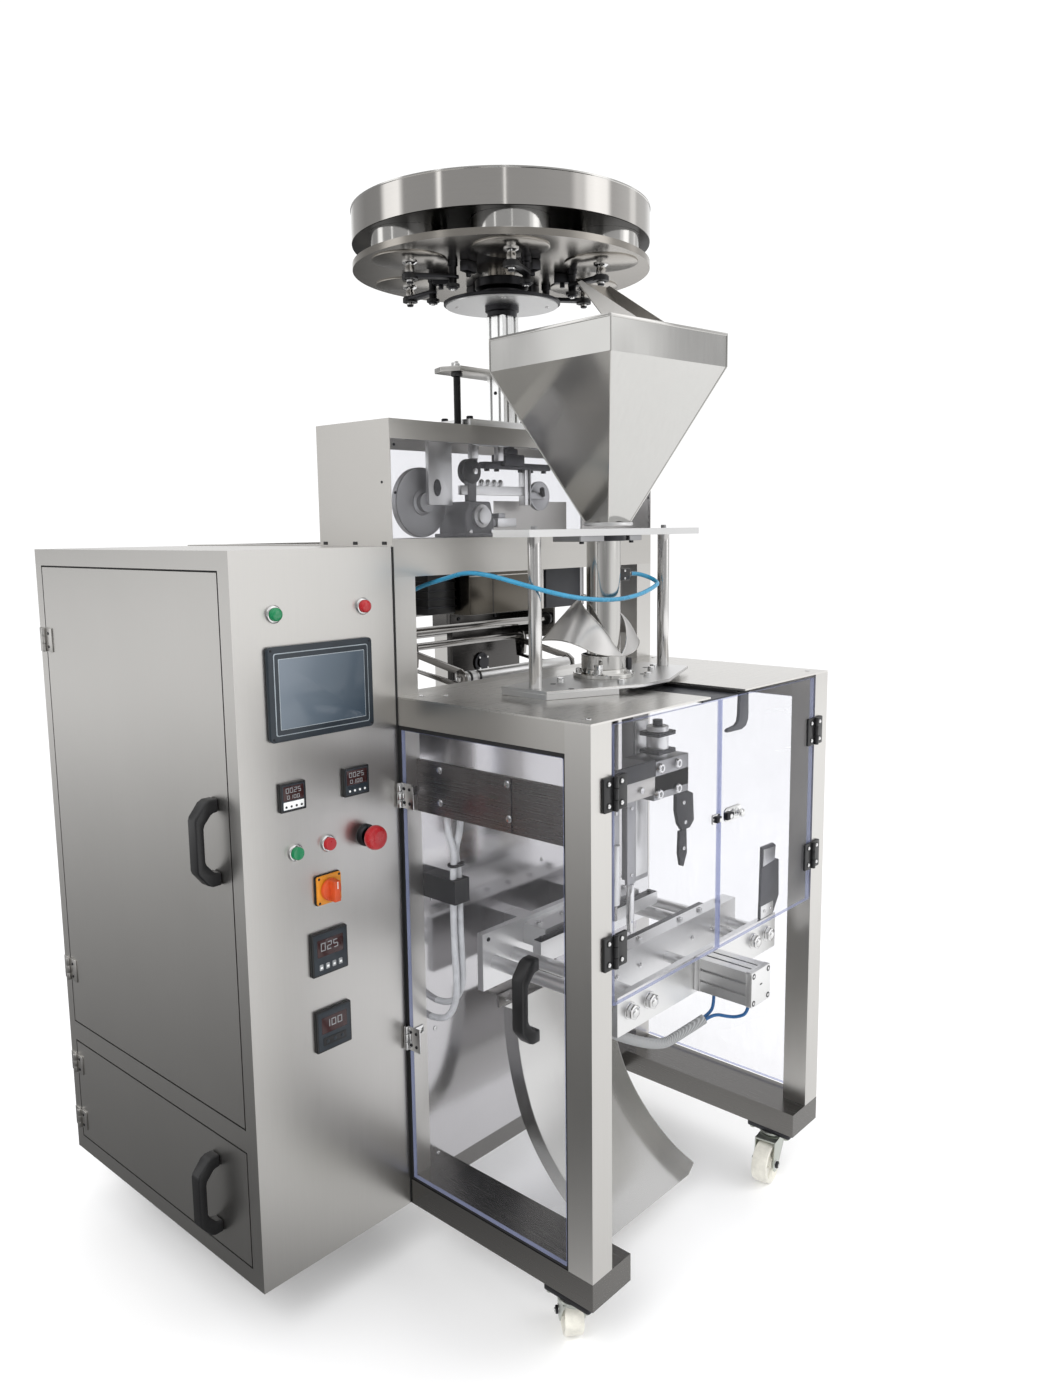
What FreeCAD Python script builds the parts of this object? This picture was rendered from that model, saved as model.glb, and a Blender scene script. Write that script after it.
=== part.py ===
import FreeCAD, Part
import math
import os
import Sketcher
from FreeCAD import Placement, Rotation, Vector

# Vertical form fill seal machine with a rotary volumetric cup filler.
# Working frame while modelling: X to the right along the front, 0 at the main frame's left face;
# Y towards the back, 0 at the control panel's face; Z up from the floor.
# Every finished piece is then shifted by -originX, -originY, so that the part's own origin is
# the centre of its bounding box, on the floor.

doc = FreeCAD.newDocument("vertical_form_fill_seal_machine")
sheet = doc.addObject("Spreadsheet::Sheet", "Dims")

SIZES = [
    # alias, value in mm
    ("originX", 194), ("originY", 76.5),
    ("cabWidth", 320), ("cabDepth", 652), ("cabBottom", 105), ("cabTop", 1310), ("cabWall", 2),
    ("doorGap", 3), ("cabDoorFront", 33), ("cabDoorBack", 626), ("upDoorLow", 382), ("upDoorTop", 1277),
    ("lowDoorLow", 138), ("lowDoorTop", 338), ("cabDoorRim", 18),
    ("frameWidth", 750), ("frontY", 428), ("frameDepth", 652), ("postSize", 50), ("railBottom", 105), ("railHeight", 48),
    ("railWidth", 100), ("tableTop", 1052), ("tableSheet", 3), ("tableRail", 47), ("slotLeft", 324), ("slotRight", 436), ("slotBack", 253),
    ("beamBottom", 1257), ("beamTop", 1312), ("backSheet", 2),
    ("guardThick", 8), ("sideDoorFront", 374), ("sideDoorBack", 10), ("sideDoorLow", 160), ("sideDoorTop", 994),
    ("frontDoorLow", 598), ("frontDoorTop", 1043), ("doorSeam", 360), ("frontDoorEdge", 57),
    ("hingeTall", 54), ("hingeHigh", 912), ("hingeMid", 662),
    ("casterHeight", 105), ("wheelRadius", 40), ("wheelWidth", 32), ("casterTrail", 38), ("casterX", 24), ("casterSpan", 650), ("casterFrontY", 371), ("casterBackY", 596),
    ("boxDepth", 198), ("boxTop", 1523), ("boxPlate", 10), ("boxSheet", 2), ("windowThick", 5), ("boxBand", 1490),
    ("turnX", 377), ("turnY", 90), ("ringRadius", 286), ("ringLow", 1875), ("ringTop", 1937), ("ringWall", 3), ("discTop", 1839), ("discThick", 12),
    ("cupRing", 205), ("cupRadius", 70), ("cupWall", 2), ("columnSide", 45), ("camRadius", 109), ("camTop", 1765),
    ("standX", 337), ("standY", 190), ("shaftSpan", 377), ("shaftRadius", 11.5), ("basePlate", 15), ("standTop", 1323), ("topPlate", 12),
    ("tubeRadius", 31), ("tubeWall", 1.5), ("tubeLow", 640), ("collarRadius", 41), ("collarSheet", 2),
    ("hopperSide", 296), ("hopperTop", 1673), ("hopperBand", 58), ("hopperLow", 1345), ("hopperSheet", 2), ("hopperSpout", 56),
    ("jawPlateLeft", 125), ("jawPlateRight", 643), ("jawPlateLow", 504), ("jawPlateTop", 573), ("jawPlateFront", 382), ("jawPlateThick", 12),
    ("rodRadius", 12.5), ("rodHeight", 540), ("cylSide", 64), ("cylFront", 499),
]
VALUE = {}
for row, (alias, value) in enumerate(SIZES, start=1):
    sheet.set("A%d" % row, alias)
    sheet.set("B%d" % row, str(value))
    sheet.setAlias("B%d" % row, alias)
    VALUE[alias] = float(value)
doc.recompute()


class Q:
    """A length: its text for an expression, and its number."""

    def __init__(self, text, number, plain=False):
        self.text, self.number, self.plain = text, float(number), plain

    def _join(self, other, sign, fn):
        o = q(other)
        if self.plain and o.plain:
            return q(fn(self.number, o.number))
        return Q("(%s %s %s)" % (self.text, sign, o.text), fn(self.number, o.number))

    def __add__(self, o):
        return self._join(o, "+", lambda a, b: a + b)

    def __radd__(self, o):
        return q(o) + self

    def __sub__(self, o):
        return self._join(o, "-", lambda a, b: a - b)

    def __rsub__(self, o):
        return q(o) - self

    def __mul__(self, o):
        return self._join(o, "*", lambda a, b: a * b)

    def __rmul__(self, o):
        return q(o) * self

    def __truediv__(self, o):
        return self._join(o, "/", lambda a, b: a / b)

    def __neg__(self):
        return q(0) - self


def q(x):
    return x if isinstance(x, Q) else Q(repr(round(float(x), 6)), x, True)


class Sizes:
    def __getattr__(self, name):
        return Q("Dims." + name, VALUE[name])


D = Sizes()


def bind(obj, prop, value):
    v = q(value)
    if v.plain:
        target = obj
        names = prop.split(".")
        if len(names) == 1:
            setattr(target, prop, v.number)
            return
    obj.setExpression(prop, v.text if not v.plain else repr(v.number))


AT = {}  # where a primitive stands in the working frame


def place(obj, x, y, z, rot=None):
    obj.Placement = Placement(Vector(q(x).number, q(y).number, q(z).number), rot or Rotation())
    AT[obj.Name] = (q(x), q(y), q(z))
    for axis, value in zip("xyz", (x, y, z)):
        if not q(value).plain:
            obj.setExpression("Placement.Base." + axis, q(value).text)
    return obj


def box(name, x0, x1, y0, y1, z0, z1):
    o = doc.addObject("Part::Box", name)
    bind(o, "Length", q(x1) - x0)
    bind(o, "Width", q(y1) - y0)
    bind(o, "Height", q(z1) - z0)
    return place(o, x0, y0, z0)


TURN = {"z": Rotation(), "x": Rotation(Vector(0, 1, 0), 90), "y": Rotation(Vector(1, 0, 0), -90)}


def rod(name, x, y, z, r, length, axis="z"):
    """A round bar that starts at x, y, z and runs along +axis."""
    o = doc.addObject("Part::Cylinder", name)
    bind(o, "Radius", r)
    bind(o, "Height", length)
    return place(o, x, y, z, TURN[axis])


def cone(name, x, y, z, r1, r2, length, axis="z"):
    o = doc.addObject("Part::Cone", name)
    bind(o, "Radius1", r1)
    bind(o, "Radius2", r2)
    bind(o, "Height", length)
    return place(o, x, y, z, TURN[axis])


def cut(name, base, *tools):
    o = doc.addObject("Part::Cut", name)
    o.Base = base
    o.Tool = tools[0] if len(tools) == 1 else group(name + "_tools", *tools)
    return o


def fuse(name, *parts):
    o = doc.addObject("Part::MultiFuse", name)
    o.Shapes = list(parts)
    return o


def group(name, *parts):
    o = doc.addObject("Part::Compound", name)
    o.Links = list(parts)
    return o


NODES = []


def node(obj, label):
    """Marks a finished piece: its Label names its file, and its Placement moves it to the part's own origin."""
    obj.Label = label
    base = AT.get(obj.Name)
    x, y, z = base if base else (q(0), q(0), q(0))
    x, y = x - D.originX, y - D.originY
    obj.setExpression("Placement.Base.x", x.text)
    obj.setExpression("Placement.Base.y", y.text)
    if not z.plain:
        obj.setExpression("Placement.Base.z", z.text)
    NODES.append(obj)
    return obj


def plane_of(body, role):
    for f in body.Origin.OriginFeatures:
        if f.Role == role:
            return f


def outline(body, role, points, name, offset=None):
    """A closed sketch of straight lines through points; each corner is dimensioned from the origin."""
    s = body.newObject("Sketcher::SketchObject", name)
    s.AttachmentSupport = [(plane_of(body, role), "")]
    s.MapMode = "FlatFace"
    if offset is not None:
        s.AttachmentOffset = Placement(Vector(0, 0, q(offset).number), Rotation())
        if not q(offset).plain:
            s.setExpression("AttachmentOffset.Base.z", q(offset).text)
    n = len(points)
    xy = [(q(a), q(b)) for a, b in points]
    for i in range(n):
        a, b = xy[i], xy[(i + 1) % n]
        s.addGeometry(Part.LineSegment(Vector(a[0].number, a[1].number, 0), Vector(b[0].number, b[1].number, 0)), False)
    for i in range(n):
        s.addConstraint(Sketcher.Constraint("Coincident", i, 2, (i + 1) % n, 1))
    for i in range(n):
        for kind, v, tag in (("DistanceX", xy[i][0], "x"), ("DistanceY", xy[i][1], "y")):
            k = s.addConstraint(Sketcher.Constraint(kind, -1, 1, i, 1, v.number))
            if not v.plain:
                s.renameConstraint(k, "%s%d" % (tag, i))
                s.setExpression("Constraints.%s%d" % (tag, i), v.text)
    return s


def pad(body, sketch, length, name, midplane=False, reverse=False):
    p = body.newObject("PartDesign::Pad", name)
    p.Profile = sketch
    bind(p, "Length", length)
    if midplane:
        p.SideType = "Symmetric" if hasattr(p, "SideType") else None
        if not hasattr(p, "SideType"):
            p.Midplane = True
    p.Reversed = reverse
    sketch.Visibility = False
    return p


def new_body(name):
    return doc.addObject("PartDesign::Body", name)


# ---------------------------------------------------------------- main frame
W, FY, PS = D.frameWidth, D.frontY, D.postSize
ZR = D.railBottom + D.railHeight
uprights = []
for side, x in (("l", q(0)), ("r", W - PS)):
    uprights.append(box("front_post_" + side, x, x + PS, -FY, PS - FY, ZR, D.tableTop - D.tableSheet))
    uprights.append(box("portal_post_" + side, x, x + PS, 0, PS, ZR, D.beamBottom))
    uprights.append(box("rear_post_" + side, x, x + PS, D.frameDepth - PS, D.frameDepth, ZR, D.beamBottom))
node(group("uprights", *uprights), "frame_uprights")

base = fuse(
    "base_ring",
    box("rail_l", 0, D.railWidth, -FY, D.frameDepth, D.railBottom, ZR),
    box("rail_r", W - D.railWidth, W, -FY, D.frameDepth, D.railBottom, ZR),
    box("rail_mid", D.railWidth - 5, W - D.railWidth + 5, D.backSheet, D.backSheet + PS, D.railBottom, ZR),
    box("rail_back", D.railWidth - 5, W - D.railWidth + 5, D.frameDepth - PS, D.frameDepth, D.railBottom, ZR),
)
node(base, "base_frame")

top = fuse(
    "top_ring",
    box("beam_front", 0, W, 0, PS, D.beamBottom, D.beamTop),
    box("beam_back", 0, W, D.frameDepth - PS, D.frameDepth, D.beamBottom, D.beamTop),
    box("beam_l", 0, PS, PS - 5, D.frameDepth - PS + 5, D.beamBottom, D.beamTop),
    box("beam_r", W - PS, W, PS - 5, D.frameDepth - PS + 5, D.beamBottom, D.beamTop),
)
table_low = D.tableTop - D.tableSheet - D.tableRail
table_high = D.tableTop - D.tableSheet
rails = group(
    "high_rails",
    top,
    box("table_rail_l", 0, PS, PS - FY, 0, table_low, table_high),
    box("table_rail_r", W - PS, W, PS - FY, 0, table_low, table_high),
    box("table_rail_b", PS, W - PS, D.backSheet, PS, table_low, table_high),
)
node(rails, "frame_rails")

# table top: one 3 mm sheet, open at the front where the formed bag passes the doors
table = new_body("table_body")
sk = outline(
    table, "XY_Plane",
    [(0, -FY), (D.slotLeft, -FY), (D.slotLeft, -D.slotBack), (D.slotRight, -D.slotBack), (D.slotRight, -FY), (W, -FY), (W, 0), (0, 0)],
    "table_outline", D.tableTop - D.tableSheet)
pad(table, sk, D.tableSheet, "table_pad")
node(cut("table_cut", table, rod("table_hole", D.standX, -D.standY, D.tableTop - 10, 46, 20)), "table_top")

node(cut("back_sheet_cut", box("back_sheet_box", PS, W - PS, 0, D.backSheet, 143.5, table_low),
         box("back_notch_l", PS - 1, D.railWidth, -5, 10, 140, ZR), box("back_notch_r", W - D.railWidth, W - PS + 1, -5, 10, 140, ZR)), "back_sheet")
side_guard = box("side_guard_box", W - D.guardThick, W, -D.sideDoorFront, -4, D.sideDoorLow, D.sideDoorTop)

# ---------------------------------------------------------------- control cabinet
CW, CB, CT, CD, T = D.cabWidth, D.cabBottom, D.cabTop, D.cabDepth, D.cabWall
outer = box("cab_outer", -CW, -1.5, 0, CD, CB, CT)
inner = box("cab_inner", T - CW, -1.5 - T, T, CD - T, CB + T, CT - T)
open_up = box("cab_open_up", -CW - 5, 30 - CW, D.cabDoorFront - D.doorGap, D.cabDoorBack + D.doorGap, D.upDoorLow - D.doorGap, D.upDoorTop + D.doorGap)
open_low = box("cab_open_low", -CW - 5, 30 - CW, D.cabDoorFront - D.doorGap, D.cabDoorBack + D.doorGap, D.lowDoorLow - D.doorGap, D.lowDoorTop + D.doorGap)
stop_hole = rod("stop_hole", -79, -2, 824, 10.6, 8, "y")
GLAND = (0, 112, 1186)  # where the air hose enters the cabinet, behind the portal post
node(fuse("cab_shell", cut("cab_sheet", outer, inner, open_up, open_low, stop_hole), rod("hose_gland", -1.5, GLAND[1], GLAND[2], 9, 11.5, "x")), "cabinet_shell")


def pan(name, y0, y1, z0, z1):
    """A door leaf: sheet with its edges folded inwards."""
    a = box(name + "_sheet", -CW, D.cabDoorRim - CW, y0, y1, z0, z1)
    b = box(name + "_hollow", 1.5 - CW, D.cabDoorRim - CW + 1, y0 + 1.5, y1 - 1.5, z0 + 1.5, z1 - 1.5)
    return cut(name, a, b)


node(pan("cab_door_up", D.cabDoorFront, D.cabDoorBack, D.upDoorLow, D.upDoorTop), "cabinet_door_upper")
node(pan("cab_door_low", D.cabDoorFront, D.cabDoorBack, D.lowDoorLow, D.lowDoorTop), "cabinet_door_lower")

HANDLE = [(0, 0), (20, 0), (42, 26), (42, 114), (20, 140), (0, 140), (0, 118), (10, 118), (26, 100), (26, 40), (10, 22), (0, 22)]


def bridge_handle(name, x, y, z):
    """A moulded bridge handle that stands out towards -X from x, centred on y, foot at z."""
    b = new_body(name)
    s = outline(b, "XZ_Plane", [(-a, c) for a, c in HANDLE], name + "_profile")
    pad(b, s, 24, name + "_pad", midplane=True)
    return place(b, x, y, z)


def leaf_x(name, x, y0, y1, z0, z1, ky, kr, low):
    """A hinge leaf on a face of constant X, with its knuckle about a vertical axis at ky. low is the lower half of the knuckle."""
    mid = (q(z0) + z1) / 2
    k0, k1 = (q(z0), mid - 0.5) if low else (mid + 0.5, q(z1))
    return fuse(name, box(name + "_plate", x - 2.5, x, y0, y1, k0, k1), rod(name + "_knuckle", x - 4.5, ky, k0, kr, k1 - k0))


cab_hinge_y = 629.5
up_fit = [bridge_handle("handle_up", -CW, 72, 785)]
fixed_leaves = []
for i, z in enumerate((1118, 467)):
    up_fit.append(leaf_x("up_leaf%d" % i, -CW, 600, cab_hinge_y - 1, z, z + 45, cab_hinge_y, 4, True))
    fixed_leaves.append(leaf_x("up_fixed%d" % i, -CW, cab_hinge_y + 1, 650, z, z + 45, cab_hinge_y, 4, False))
node(group("up_fittings", *up_fit), "cabinet_door_upper_fittings")
low_fit = [bridge_handle("handle_low", -CW, 125, 165)]
for i, z in enumerate((273, 155)):
    low_fit.append(leaf_x("low_leaf%d" % i, -CW, 604, cab_hinge_y - 1, z, z + 38, cab_hinge_y, 4, True))
    fixed_leaves.append(leaf_x("low_fixed%d" % i, -CW, cab_hinge_y + 1, 650, z, z + 38, cab_hinge_y, 4, False))
node(group("low_fittings", *low_fit), "cabinet_door_lower_fittings")

# control panel
node(cut("touch", box("hmi_case", -264, -58, -8, 0, 1011, 1161), box("hmi_recess", -248, -74, -9, -6.5, 1030, 1142)), "touch_panel")
inst = []
for i, (x0, x1, z0, z1) in enumerate(((-251, -202, 897, 944), (-125, -72, 898, 947), (-203, -130, 608, 682), (-200, -128, 475, 547))):
    inst.append(cut("inst%d" % i, box("inst_case%d" % i, x0, x1, -6, 0, z0, z1), box("inst_face%d" % i, x0 + 6, x1 - 6, -7, -4, z0 + 6, z1 - 6)))
node(group("instruments", *inst), "temperature_controllers")
fits = []
for i, (x, z) in enumerate(((-245, 1211), (-69, 1213), (-223.5, 827), (-159, 828))):
    fits.append(fuse("lamp%d" % i, rod("lamp_ring%d" % i, x, -5, z, 14.5, 5, "y"), rod("lamp_lens%d" % i, x, -14, z, 10.5, 10, "y")))
fits.append(cut("estop_collar", rod("estop_ring", -79, -9, 824, 19, 9, "y"), rod("estop_bore", -79, -10, 824, 10.5, 11, "y")))
fits.append(cut("switch_base", box("switch_plate", -189, -138, -7, 0, 727, 778), rod("switch_bore", -163.5, -8, 752.5, 8.5, 10, "y")))
node(group("panel_fits", *fits), "panel_fittings")
node(fuse("estop", rod("estop_stem", -79, -22, 824, 10, 21.9, "y"), rod("estop_head", -79, -38, 824, 21, 17, "y")), "emergency_stop_button")
node(fuse("knob", rod("knob_stem", -163.5, -12, 752.5, 8, 11.9, "y"), rod("knob_disc", -163.5, -16, 752.5, 19, 8.5, "y"),
          box("knob_grip", -169.5, -157.5, -30, -12, 734.5, 770.5)), "main_switch_knob")

# ---------------------------------------------------------------- side door (clear sheet, left)
GT = D.guardThick
side = box("side_sheet", 0, GT, -D.sideDoorFront, -D.sideDoorBack, D.sideDoorLow, D.sideDoorTop)
node(side, "side_door_left")
side_fit = [bridge_handle("handle_side", 0, -312, 527)]
for i, z in enumerate((857, 409)):
    mid = z + 22
    side_fit.append(fuse("side_leaf%d" % i, box("side_leaf_plate%d" % i, -2.5, 0, -38, -6, z, mid - 0.5), rod("side_leaf_knuckle%d" % i, -5, -5.5, z, 4, mid - 0.5 - z)))
    fixed_leaves.append(fuse("side_fixed%d" % i, box("side_fixed_plate%d" % i, -5, 40, -2.5, 0, mid + 0.5, z + 45), rod("side_fixed_knuckle%d" % i, -5, -5.5, mid + 0.5, 4, z + 45 - mid - 0.5)))
node(group("side_fittings", *side_fit), "side_door_left_fittings")

# ---------------------------------------------------------------- front doors (clear sheets)
DL, DT, E = D.frontDoorLow, D.frontDoorTop, D.frontDoorEdge
node(box("front_sheet_l", E, D.doorSeam - 2, -FY, GT - FY, DL, DT), "front_door_left")
node(box("front_sheet_r", D.doorSeam + 2, W - E, -FY, GT - FY, DL, DT), "front_door_right")
for side_name, kx, sgn in (("left", q(53), 1), ("right", W - 53, -1)):
    fit = []
    for i, z in enumerate((D.hingeHigh, D.hingeMid)):
        mid = z + D.hingeTall / 2
        a, b = (kx + 2, kx + 32) if sgn > 0 else (kx - 32, kx - 2)
        c, e = (kx - 27, kx - 3) if sgn > 0 else (kx + 3, kx + 27)
        n = "%s%d" % (side_name, i)
        fit.append(fuse("fleaf_" + n, box("fleaf_plate_" + n, a, b, -FY - 4, -FY, z, mid - 0.5), rod("fleaf_knuckle_" + n, kx, -FY - 5.5, z, 4.5, D.hingeTall / 2 - 0.5)))
        fixed_leaves.append(fuse("ffix_" + n, box("ffix_plate_" + n, c, e, -FY - 4, -FY, mid + 0.5, z + D.hingeTall), rod("ffix_knuckle_" + n, kx, -FY - 5.5, mid + 0.5, 4.5, D.hingeTall / 2 - 0.5)))
    if sgn < 0:
        fit.append(box("latch_body", 382, 424, -FY - 10, -FY, 826, 848))
    else:
        fit.append(box("latch_keeper", 332, 352, -FY - 8, -FY, 828, 846))
    node(group("front_fit_" + side_name, *fit), "front_door_%s_fittings" % side_name)
node(group("leaves", *fixed_leaves), "frame_hinge_leaves")

# ---------------------------------------------------------------- casters
# pivot x, pivot y, turn of the fork about the vertical (0 = wheel trails to the left)
CASTERS = {
    "front_left": (D.casterX, -D.casterFrontY, 228.6),
    "front_right": (D.casterX + D.casterSpan, -D.casterFrontY, 7.8),
    "rear_left": (D.casterX, D.casterBackY, 24),
    "rear_right": (D.casterX + D.casterSpan, D.casterBackY, -28),
}
CH_, TRAIL = D.casterHeight, D.casterTrail
plates = []
for name, (cx, cy, _) in CASTERS.items():
    plates.append(fuse("cplate_" + name, box("cplate_box_" + name, cx - 24, cx + 26, cy - 48, cy + 48, CH_ - 10, CH_),
                       rod("cplate_race_" + name, cx, cy, CH_ - 15.8, 23, 6)))
node(group("cplates", *plates), "caster_plates")
WR, WW = D.wheelRadius, D.wheelWidth
for name, (cx, cy, turn) in CASTERS.items():
    top = CH_ - 16
    side = new_body("cheek_body_" + name)
    sk = outline(side, "XZ_Plane", [(17, top), (17, top - 7), (14 - TRAIL, WR - 10), (4 - TRAIL, WR - 15), (-8 - TRAIL, WR - 14), (-13 - TRAIL, WR - 6), (-12 - TRAIL, top)], "cheek_" + name)
    pad(side, sk, WW + 12, "cheek_pad_" + name, midplane=True)
    gap = box("fork_gap_" + name, -110, 60, -WW / 2 - 3, WW / 2 + 3, 5, top - 3)
    fork = fuse("fork_" + name, cut("fork_cut_" + name, side, gap), rod("crown_" + name, 0, 0, top - 3, 23, 3), rod("axle_" + name, -TRAIL, -WW / 2 - 9, WR, 5, WW + 18, "y"))
    wheel = cut("wheel_" + name, rod("tyre_" + name, -TRAIL, -WW / 2, WR, WR, WW, "y"), rod("wheel_bore_" + name, -TRAIL, -WW / 2 - 1, WR, 5.05, WW + 2, "y"))
    for obj, label in ((fork, "caster_fork_" + name), (wheel, "caster_wheel_" + name)):
        obj.Placement = Placement(Vector(0, 0, 0), Rotation(Vector(0, 0, 1), turn))
        AT[obj.Name] = (cx, cy, q(0))
        node(obj, label)

# ---------------------------------------------------------------- jaw unit
JL, JR, JF, JT = D.jawPlateLeft, D.jawPlateRight, D.jawPlateFront, D.jawPlateThick
ROD_X = (159, 213, 558, 609)
CY, CZ = 384, 541  # cylinder centre line: x and height
jaw_front = cut("jaw_front_plate", box("jaw_front_sheet", JL, JR, -JF, JT - JF, D.jawPlateLow, D.jawPlateTop), rod("jaw_rod_hole", CY, -JF - 1, CZ, 10.25, 20, "y"))
jaw = [jaw_front,
       box("jaw_back_plate", JL, JR, -74, -60, D.jawPlateLow - 10, D.jawPlateTop + 30),
       box("jaw_mount_a", 260, 300, -60, 0, 520, 590), box("jaw_mount_b", 460, 500, -60, 0, 520, 590)]
for i, x in enumerate(ROD_X):
    jaw.append(rod("jaw_rod%d" % i, x, -JF - 1, D.rodHeight, D.rodRadius, JF - 60, "y"))
    jaw.append(rod("jaw_bolt%d" % i, x, -JF - 12, D.rodHeight, 11, 13, "y"))
node(fuse("jaw_frame", *jaw), "jaw_frame")
cyl = cut("cyl", box("cyl_body", CY - D.cylSide / 2, CY + D.cylSide / 2, -D.cylFront, -JF, CZ - D.cylSide / 2, CZ + D.cylSide / 2), rod("cyl_bore", CY, -488, CZ, 10.25, 120, "y"))
node(fuse("cyl_fused", cyl, rod("cyl_port_a", 374, -410.2, 503, 5, 7), rod("cyl_port_b", 388, -474, 503, 5, 7)), "jaw_cylinder")
carriage = [box("jaw_bar_front", 140, 628, -300, -270, 515, 590), box("jaw_face_front", 200, 568, -270, -252, 560, 585),
            rod("piston_rod", CY, -480, CZ, 10, 181, "y")]
holes = [rod("jaw_bush%d" % i, x, -310, D.rodHeight, D.rodRadius + 0.05, 70, "y") for i, x in enumerate(ROD_X)]
node(cut("jaw_carriage", fuse("jaw_carriage_solid", *carriage), *holes), "front_jaw")
back_jaw = [box("jaw_bar_back", 235, 530, -130, -74, 555, 595), box("jaw_face_back", 200, 568, -150, -130, 560, 585)]
node(fuse("rear_jaw_f", *back_jaw), "rear_jaw")

# side beam between the left posts, and the vertical sealing bar that hangs from a tie on it
beam_l = fuse("side_beam_l", box("beam_plate_l", 42, 50, PS - FY, 0, 841, 935), box("hose_bracket", 49, 88, -370, -334, 841, 845), box("hose_junction", 49, 86, -86, -38, 862, 900))
node(beam_l, "side_beams")
sealer = fuse("sealer", box("seal_bar", 330, 378, -262, -236, 690, 1000), box("seal_block", 300, 408, -330, -262, 860, 930), box("seal_tie", 50, 408, -330, -316, 872, 905))
node(sealer, "vertical_sealer")

# ---------------------------------------------------------------- discharge chute: a curved sheet with side flanges
CH = [(-52, 432), (-55, 385), (-62, 335), (-76, 278), (-97, 221), (-128, 170), (-167, 126), (-205, 94), (-246, 68), (-291, 49)]


def offset_line(points, d):
    out = []
    for i, (a, b) in enumerate(points):
        p0 = points[max(i - 1, 0)]
        p1 = points[min(i + 1, len(points) - 1)]
        dx, dz = p1[0] - p0[0], p1[1] - p0[1]
        n = math.hypot(dx, dz)
        out.append((a + d * dz / n, b - d * dx / n))
    return out


def strip(name, x0, length, depth):
    b = new_body(name)
    s = outline(b, "YZ_Plane", CH + offset_line(CH, depth)[::-1], name + "_outline", x0)
    pad(b, s, length, name + "_pad")
    return b


node(fuse("chute", strip("chute_sheet", 201, 278, 2), strip("chute_flange_l", 200, 2, 34), strip("chute_flange_r", 478, 2, 34),
          box("chute_hanger", 240, 440, -53, 0, 424, 427), box("chute_tab", 240, 440, -3, 0, 400, 427)), "discharge_chute")

# ---------------------------------------------------------------- upper drive box
BT, BZ, BP = D.boxTop, D.beamTop, D.boxPlate
shell = fuse(
    "upper_shell",
    box("ub_floor", 0, W, 0, D.boxDepth, BZ, BZ + BP),
    box("ub_top", 0, W, 0, D.boxDepth, BT - BP, BT),
    box("ub_left", 0, D.boxSheet, 0, D.boxDepth, BZ + BP - 1, BT - BP + 1),
    box("ub_right", W - D.boxSheet, W, 0, D.boxDepth, BZ + BP - 1, BT - BP + 1),
    box("ub_band", 1, W - 1, 0, 8, D.boxBand, BT - BP + 1),
    box("ub_back_band", 1, W - 1, D.boxDepth - 8, D.boxDepth, D.boxBand, BT - BP + 1),
    box("ub_inner_sheet", 408, 640, 150, 152, BZ + BP - 1, 1394),
)
node(shell, "upper_box")
node(group("windows", side_guard, box("win_front", D.boxSheet, W - D.boxSheet, 0, D.windowThick, BZ + BP, D.boxBand),
           box("win_back", D.boxSheet, W - D.boxSheet, D.boxDepth - D.windowThick, D.boxDepth, BZ + BP, D.boxBand)), "fixed_clear_guards")
drive = group(
    "drive",
    fuse("hang", box("hang_plate", 179, 240, 96, 106, 1383, BT - BP), rod("hang_shaft", 180, 104, 1392, 14, 17, "y"), rod("big_disc", 180, 120, 1388, 65, 14, "y")),
    fuse("gear_case", box("gear_box", 249, 327, 70, 150, BZ + BP, 1390), box("gear_post", 280, 300, 96, 106, 1389, 1440), rod("gear_wheel", 290, 92, 1448, 24, 18, "y")),
    fuse("cross_arm", rod("arm_shaft", 400, 101, 1480, 13, BT - BP - 1480), box("arm_block", 372, 428, 84, 118, 1462, 1490), box("arm_beam", 324, 520, 92, 110, 1455, 1471),
         box("arm_drop", 440, 458, 92, 110, 1384, 1456), box("arm_link", 283, 450, 95, 107, 1405, 1420), box("pulley_arm", 450, 503, 95, 101, 1397, 1411),
         rod("pulley", 499, 101, 1404, 28, 12, "y")),
    # the motor of the cup filler and its two boxes hang under the drive box, behind the portal
    box("motor_case", 248, 432, 66, 190, 1172, BZ), box("motor_end", 168, 240, 96, 176, 1176, BZ), box("driver_case", 477, 600, 70, 150, 1172, BZ),
)
node(drive, "drive_unit")

# ---------------------------------------------------------------- turntable column, height screw and cam plate
TX, TY = D.turnX, D.turnY
CS = D.columnSide
col = fuse("column", box("col_box", TX - CS / 2, TX + CS / 2, TY - CS / 2, TY + CS / 2, BT, D.camTop - 14), rod("col_neck", TX, TY, D.camTop - 15, 30, 16),
           rod("cam_disc", TX, TY, D.camTop, D.camRadius, 6),
           box("col_bracket", 217, TX + 20, 62, 128, 1628, 1638), box("col_foot", 251, 425, 58, 150, BT, BT + 20),
           rod("screw_rod", 240, 80, BT, 6.5, 117), rod("screw_nut", 240, 80, BT, 13, 8), rod("bracket_bolt", 262, 112, 1637, 5, 12))
node(col, "turntable_column")

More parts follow.
